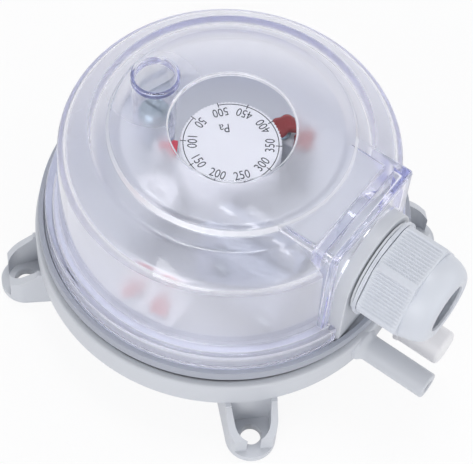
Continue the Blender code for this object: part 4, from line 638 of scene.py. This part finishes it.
def printedText(text, size, narrow):  # flat words as corner points and faces, centred on their own middle
    curve = bpy.data.curves.new("words", "FONT")
    curve.body = text
    curve.size = size
    curve.align_x = "CENTER"
    curve.align_y = "CENTER"
    item = bpy.data.objects.new("words", curve)
    scene.collection.objects.link(item)
    view = bpy.context.evaluated_depsgraph_get()
    mesh = bpy.data.meshes.new_from_object(item.evaluated_get(view), depsgraph=view)
    bpy.data.objects.remove(item)
    corner = np.zeros(len(mesh.vertices) * 3, np.float32)
    mesh.vertices.foreach_get("co", corner)
    corner = corner.reshape(-1, 3).astype(float)
    faces = [list(polygon.vertices) for polygon in mesh.polygons]
    corner[:, 1] -= (corner[:, 1].max() + corner[:, 1].min()) / 2
    corner[:, 0] *= narrow
    bpy.data.meshes.remove(mesh)
    return corner[:, :2], faces


def turnedFlat(corner, angle, offset):
    turn = np.array([[np.cos(angle), np.sin(angle)], [-np.sin(angle), np.cos(angle)]])
    return corner @ turn + np.array(offset)


def makePrint(s, height):
    # ring as two circles, ticks as thin rectangles across it, numbers with their tops towards the centre
    count = s["ringSteps"]
    sweep = np.radians(np.linspace(s["ringStart"], s["ringStart"] + s["ringSweep"], count))
    rings = [radius * np.stack([np.cos(sweep), np.sin(sweep)], axis=1)
             for radius in (s["ringRadius"] - s["ringWidth"] / 2, s["ringRadius"] + s["ringWidth"] / 2)]
    parts = [(np.vstack(rings), [[i, i + 1, count + i + 1, count + i] for i in range(count - 1)])]
    half, wide = s["tickLength"] / 2, s["tickWidth"] / 2
    for step in range(s["numbers"]):
        angle = np.radians(s["ringStart"] + s["ringSweep"] / (s["numbers"] - 1) * step)
        tick = np.array([(-half, -wide), (half, -wide), (half, wide), (-half, wide)]) + (s["ringRadius"], 0)
        parts.append((turnedFlat(tick, angle, (0, 0)), [[0, 1, 2, 3]]))
        corner, faces = printedText(str(s["each"] * (step + 1)), s["numberSize"], s["numberWidth"])
        centre = (s["numberRadius"] * np.cos(angle), s["numberRadius"] * np.sin(angle))
        parts.append((turnedFlat(corner, angle + np.pi / 2, centre), faces))
    corner, faces = printedText(s["unit"], s["unitSize"], s["numberWidth"])
    parts.append((turnedFlat(corner, np.radians(s["unitTurn"]), s["unitPlace"]), faces))
    points, allFaces, start = [], [], 0
    for corner, faces in parts:
        points.append(corner)
        allFaces += [[start + index for index in face] for face in faces]
        start += len(corner)
    flat = np.vstack(points)
    layer = np.column_stack([flat, np.full(len(flat), height)])
    mesh = meshFrom("print", layer, allFaces)
    upward = bmesh.new()
    upward.from_mesh(mesh)
    bmesh.ops.reverse_faces(upward, faces=[face for face in upward.faces if face.normal.z < 0])
    upward.to_mesh(mesh)
    upward.free()
    return mesh


place("dialPrint", makePrint(printSizes, knobSizes["face"] + printSizes["thickness"]), printInk, "dial")

# Gland nut
nutSizes = dict(
    face=40.95, reach=56.3, domeStart=50.7, flats=20.7, corner=11.6, mouth=5.4, mouthWall=1.3, bore=8.3,
    boreEnd=51.5, height=40.2, edge=0.4, domeInset=0.35, chamfer=0.6,
    ribPitch=0.85, ribDepth=0.34, ribHalf=5.1, ribFade=0.4, ribEnd=50.0, ribEndFade=0.5, steps=960,
)


def makeNut(s):
    # hexagon with rounded corners and fine ribs on its flats; its radius passes smoothly into a dome of revolution
    names = ("face", "domeStart", "reach", "corner", "mouth", "edge")
    face, start, end, corner, mouth, edge = (s[name] for name in names)
    flat, outer = s["flats"] / 2, mouth + s["mouthWall"]
    swing = np.linspace(0, np.pi / 2, 25)
    body = [(face, corner - edge), (face + edge * 0.3, corner - edge * 0.3), (face + edge, corner)]
    body += [(distance, corner) for distance in np.linspace(face + 1, start - 1, 16)]
    body += [(start - s["domeInset"], corner), (start - 0.12, corner - 0.08), (start, corner - 0.3)]
    head = np.stack([start + 0.05 + (end - start - 0.05) * np.sin(swing),
                     outer + (flat - s["domeInset"] - outer) * np.cos(swing)], axis=1)
    inside = [(end - 0.1, outer - 0.3), (end, mouth + 0.5), (end - 0.15, mouth + 0.1), (end - 0.6, mouth),
              (s["boreEnd"], s["bore"]), (face, s["bore"])]
    rows = np.array(body + head.tolist() + inside)
    angle = np.linspace(0, 2 * np.pi, s["steps"], endpoint=False)
    within = angle % (np.pi / 3) - np.pi / 6
    hexagon = flat / np.cos(within)
    across = flat * np.tan(within)
    ribs = (0.5 - 0.5 * np.cos(2 * np.pi * across / s["ribPitch"])) * s["ribDepth"]
    ribs *= np.clip((s["ribHalf"] - np.abs(across)) / s["ribFade"], 0, 1)
    height, widest = rows[:, :1], rows[:, 1:]
    chamfer = np.clip(height - start + s["domeInset"], 0, 1) * s["chamfer"]
    ribbed = np.clip((s["ribEnd"] - height) / s["ribEndFade"], 0, 1)
    ribbed *= np.clip((height - face - edge) / s["ribFade"], 0, 1)
    hexed = np.minimum(widest, hexagon - chamfer) - ribbed * ribs
    radius = np.where(np.arange(len(rows))[:, None] < len(body), hexed, widest)
    height = np.broadcast_to(height, radius.shape)
    points = towardsGland(radius * np.cos(angle), s["height"] + radius * np.sin(angle), height)
    return meshFrom("nut", points, ringFaces(len(rows), s["steps"], True))


place("glandDomeNut", makeNut(nutSizes), glandPlastic, "nut", ["gland_nut"], smoothAngle=40)

# Port cap
capSizes = dict(across=5.0, height=15.75, mouth=45.9, end=57.1, inner=3.15, wall=0.9, endWall=1.1)


def makeCap(s):
    outer = s["inner"] + s["wall"]
    corners = [(s["inner"], s["mouth"]), (outer + 0.25, s["mouth"]), (outer + 0.25, s["mouth"] + 1.0),
               (outer, s["mouth"] + 1.3), (outer, s["end"]), (0, s["end"])]
    outside = softened(corners, [0, 0.25, 0.2, 0.2, 1.0, 0], 6)
    inside = softened([(0, s["end"] - s["endWall"]), (s["inner"], s["end"] - s["endWall"]), (s["inner"], s["mouth"])],
                      0.3, 3)
    profile = np.vstack([outside, inside[:-1]])
    columns, count = 96, len(profile)
    angle = np.linspace(0, 2 * np.pi, columns, endpoint=False)[None]
    across = s["across"] + profile[:, :1] * np.cos(angle)
    along = s["height"] + profile[:, :1] * np.sin(angle)
    height = np.broadcast_to(profile[:, 1:], across.shape)
    faces = ringFaces(count, columns, True)
    seam = faces.reshape(count, columns, 4)
    keep = [row for row in range(count) if row != len(outside) - 1]
    return meshFrom("cap", towardsGland(across, along, height), seam[keep].reshape(-1, 4))


place("softPortCap", makeCap(capSizes), capPlastic, "cap", ["port_cap"])

# Lacquer, adjuster and index
lacquerSizes = dict(  # piece, node, radius, depth of the lobes and where they start
    dots=[("lacquerDotLow", "lacquer_dot_1", 2.35, 0.14, 0.3), ("lacquerDotHigh", "lacquer_dot_2", 2.3, 0.18, 2.1)],
    seals=[("lacquerSealLow", "lacquer_seal_1", 2.9, 0.3, 0.9), ("lacquerSealHigh", "lacquer_seal_2", 3.45, 0.34, 2.4)],
    foot=0.92, bulge=0.55, crown=1.2, tilt=0.08, spread=1.3,
)


def makeDrop(s, node, radius, lobes, phase, rows=18, columns=96):
    # a low dome whose rim swings in and out with the second, third and fifth harmonic of the angle
    low, high = (np.array(corner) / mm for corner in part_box(node))
    centre = (low + high) / 2
    angle = np.linspace(0, 2 * np.pi, columns, endpoint=False)[None]
    rise = np.linspace(0, 1, rows)[1:-1, None] * np.pi / 2
    edge = np.vstack([[[0.0]], [[s["foot"]]], np.cos(rise) ** s["bulge"], [[0.0]]])
    level = np.vstack([[[0.0]], [[0.0]], np.sin(rise) ** s["crown"], [[1.0]]])
    wave = lobes * (np.sin(2 * angle + phase) + 0.6 * np.sin(3 * angle + 2 * phase) + 0.35 * np.sin(5 * angle))
    reach = np.minimum(radius * edge * (1 + wave * edge), min(high[:2] - low[:2]) / 2 * s["spread"])
    height = low[2] + (high[2] - low[2]) * level * (1 + s["tilt"] * np.sin(2 * angle + phase) * edge)
    points = upright(centre[0] + reach * np.cos(angle), centre[1] + reach * np.sin(angle), height)
    return meshFrom("drop", points, ringFaces(rows + 1, columns, False))


for kind, lacquer, slotName in (("dots", dotLacquer, "index_red"), ("seals", sealLacquer, "red_lacquer")):
    for pieceName, node, *shape in lacquerSizes[kind]:
        place(pieceName, makeDrop(lacquerSizes, node, *shape), lacquer, "housing", [node], 60)

indexSizes = dict(
    angle=122.0, low=45.1, high=46.35, edge=0.15,
    outline=((11.25, -1.2), (12.35, -1.3), (12.95, -0.5), (13.3, -0.35), (15.2, -0.35), (15.2, 0.35), (13.3, 0.35),
             (13.0, 1.0), (12.4, 2.0), (11.25, 1.9)),
)


def makeIndex(s):  # small red arrow beside the dial: a blunt head on a narrow tail that reaches back over its post
    arrow = bar("index", s["outline"], softEnds(s["low"], s["high"], s["edge"]))
    arrow.transform(Matrix.Rotation(np.radians(s["angle"]), 4, "Z"))
    return arrow


place("indexArrow", makeIndex(indexSizes), indexPlastic, "housing", ["index_pointer"])

adjusterSizes = dict(
    centre=(-14.8, 8.4), radius=4.7, bottom=36.5, top=40.2, rimWidth=0.9, hub=2.8, hubTop=40.1, trench=38.9,
    slotHalf=0.95, slotReach=2.3, slotDepth=3.0,
)


def makeAdjuster(s):
    inner = s["radius"] - s["rimWidth"]
    corners = [(0, s["bottom"]), (s["radius"], s["bottom"]), (s["radius"], s["top"]), (inner, s["top"]),
               (inner - 0.2, s["trench"]), (s["hub"] + 0.2, s["trench"]), (s["hub"], s["hubTop"]), (0, s["hubTop"])]
    body = lathe("adjuster", softened(corners, [0, 0.2, 0.35, 0.2, 0.2, 0.2, 0.2, 0]), 96, s["centre"])
    centre, half = np.array(s["centre"]), np.array([s["slotHalf"], s["slotReach"]])
    slot = bar("slot", roundedBox(centre - half, centre + half, 0.3),
               [(s["top"] - s["slotDepth"], 0), (s["top"] + 1, 0)])
    return combined(body, slot, "DIFFERENCE")


place("trimAdjuster", makeAdjuster(adjusterSizes), innerPlastic, "adjuster", ["range_adjuster"])

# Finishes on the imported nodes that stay
finishes = {
    indexPlastic: ["switch_button"],
    switchPlastic: ["microswitch_body"],
    innerPlastic: ["trim_plate", "screw_washer", "upper_diaphragm_plate", "spring_seat"],
    sealRubber: ["gland_seal"],
    paleRubber: ["gland_gasket"],
    membrane: ["diaphragm"],
    glandPlastic: ["gland_body", "gland_claws"],
    tinnedBrass: ["terminal_closed", "terminal_common", "terminal_open"],
    pressedAluminium: ["lower_diaphragm_plate"],
    springSteel: ["setting_spring", "switch_lever"],
    brightSteel: ["switch_screw_1", "switch_screw_2"],
    platedSteel: ["diaphragm_stem", "cover_screw"] + [
        name for name in nodes if "screw_" in name and not name.startswith(("screw_washer", "switch"))],
}
for material, names in finishes.items():
    for name in names:
        item = nodes[name]
        item.data.materials.clear()
        item.data.materials.append(material)
print("finishes set on", sum(len(names) for names in finishes.values()), "packed nodes")

# Floor, world, lamps
stageLook = dict(
    floorHalf=3.0, floorHeight=-0.02 * mm, floor="#f4f4f6", room="#f8f9fc", light=0.58,
    white=0.9,              # how much of the floor's own white a seen ray gets
    ceiling=0.35, ceilingRise=(0.35, 0.8),  # share of white overhead, and where the paper fades to it
)


def seenWhite(material):  # 1 for rays that show the background: camera, glossy and transmission
    path = addNode(material, "LightPath")
    first = addNode(material, "Math", {"operation": "MAXIMUM"},
                    {0: path.outputs["Is Camera Ray"], 1: path.outputs["Is Glossy Ray"]})
    return addNode(material, "Math", {"operation": "MAXIMUM"}, {0: first, 1: path.outputs["Is Transmission Ray"]})


def makeFloor(s):
    # matt white table: its own white is added on seen rays, so that the background stays white round a soft shadow
    half, height = s["floorHalf"], s["floorHeight"]
    corners = [(-half, -half, height), (half, -half, height), (half, half, height), (-half, half, height)]
    item = bpy.data.objects.new("floor", meshFrom("floor", corners, [[0, 1, 2, 3]], 1.0))
    scene.collection.objects.link(item)
    material = newMaterial("mattWhiteTable")
    seen = seenWhite(material)
    share = addNode(material, "Math", {"operation": "MULTIPLY", 1: s["white"]}, {0: seen})
    matt = addNode(material, "BsdfDiffuse", {"Color": fromHex(s["floor"])})
    glow = addNode(material, "Emission", {"Color": (1.0, 1.0, 1.0, 1.0), "Strength": 1.0})
    mixed = addNode(material, "MixShader", {}, {0: share, 1: matt, 2: glow})
    addNode(material, "OutputMaterial", {}, {"Surface": mixed})
    item.data.materials.append(material)


def makeWorld(s):
    # white paper all round, as seen in the clear and shiny parts, under a dimmer ceiling
    world = bpy.data.worlds.new("softRoom")
    world.use_nodes = True
    world.node_tree.nodes.clear()
    seen = seenWhite(world)
    room = addNode(world, "Background", {"Color": fromHex(s["room"]), "Strength": s["light"]})
    towards = addNode(world, "TexCoord").outputs["Generated"]
    rise = addNode(world, "SeparateXYZ", {}, {"Vector": towards}).outputs["Z"]
    low, high = s["ceilingRise"]
    paper = addNode(world, "MapRange", {"From Min": low, "From Max": high, "To Min": 1.0, "To Max": s["ceiling"]},
                    {"Value": rise})
    white = addNode(world, "Background", {"Color": (1.0, 1.0, 1.0, 1.0)}, {"Strength": paper})
    mixed = addNode(world, "MixShader", {}, {0: seen, 1: room, 2: white})
    addNode(world, "OutputWorld", {}, {"Surface": mixed})
    scene.world = world


lampAim = (0, 0, 0.03)  # the middle of the object
lampSizes = dict(  # place, size and power of each soft box
    key=((-0.85, -0.2, 0.38), 0.5, 2.6),
    fill=((0.6, -0.55, 0.5), 0.6, 1.2),
    front=((-0.15, -0.9, 0.35), 0.6, 0.85),
    above=((0.147, 0.09, 0.9), 0.25, 1.7),
)


def makeLamps(lamps, aim):
    for name, (spot, size, power) in lamps.items():
        lamp = bpy.data.lights.new(name, "AREA")
        lamp.size = size
        lamp.energy = power
        item = bpy.data.objects.new(name, lamp)
        scene.collection.objects.link(item)
        away = np.array(spot) - aim
        away /= np.linalg.norm(away)
        side = np.cross((0, 0, 1), away)
        side /= np.linalg.norm(side)
        turn = np.column_stack([side, np.cross(away, side), away, spot])
        item.matrix_world = Matrix(np.vstack([turn, [0, 0, 0, 1]]).tolist())


makeFloor(stageLook)
makeWorld(stageLook)
makeLamps(lampSizes, lampAim)

# Camera, in the object's frame: turned 58.5 degrees about Z, looking down at 58.4 degrees with a small roll
cameraSizes = dict(
    lens=129.6, distance=0.39112, target=(0, 0, 0.0118), shift=(0.003125, 0.001037), turn=-58.49, roll=5.78,
    up=(0.7258, 0.4450, 0.5245), ahead=(0.4472, 0.2742, -0.8513),
)


def makeCamera(s):
    turn, roll = np.radians(s["turn"]), np.radians(s["roll"])
    right = np.array([np.cos(turn), np.sin(turn), 0.0])
    up, ahead = np.array(s["up"]), np.array(s["ahead"])
    rolledRight = np.cos(roll) * right + np.sin(roll) * up
    rolledUp = np.cos(roll) * up - np.sin(roll) * right
    spot = np.array(s["target"]) - ahead * s["distance"] + rolledRight * s["shift"][0] + rolledUp * s["shift"][1]
    data = bpy.data.cameras.new("camera")
    data.lens = s["lens"]
    data.sensor_width = 36.0
    data.clip_start = 0.01
    item = bpy.data.objects.new("camera", data)
    scene.collection.objects.link(item)
    item.matrix_world = Matrix(np.vstack([np.column_stack([rolledRight, rolledUp, -ahead, spot]),
                                          [0, 0, 0, 1]]).tolist())
    scene.camera = item


makeCamera(cameraSizes)
scene.view_settings.view_transform = "Standard"
scene.cycles.max_bounces = 24  # light turns many times inside the clear walls before it leaves
scene.cycles.glossy_bounces = 16
scene.cycles.transmission_bounces = 24
print("stage, lamps and camera made")
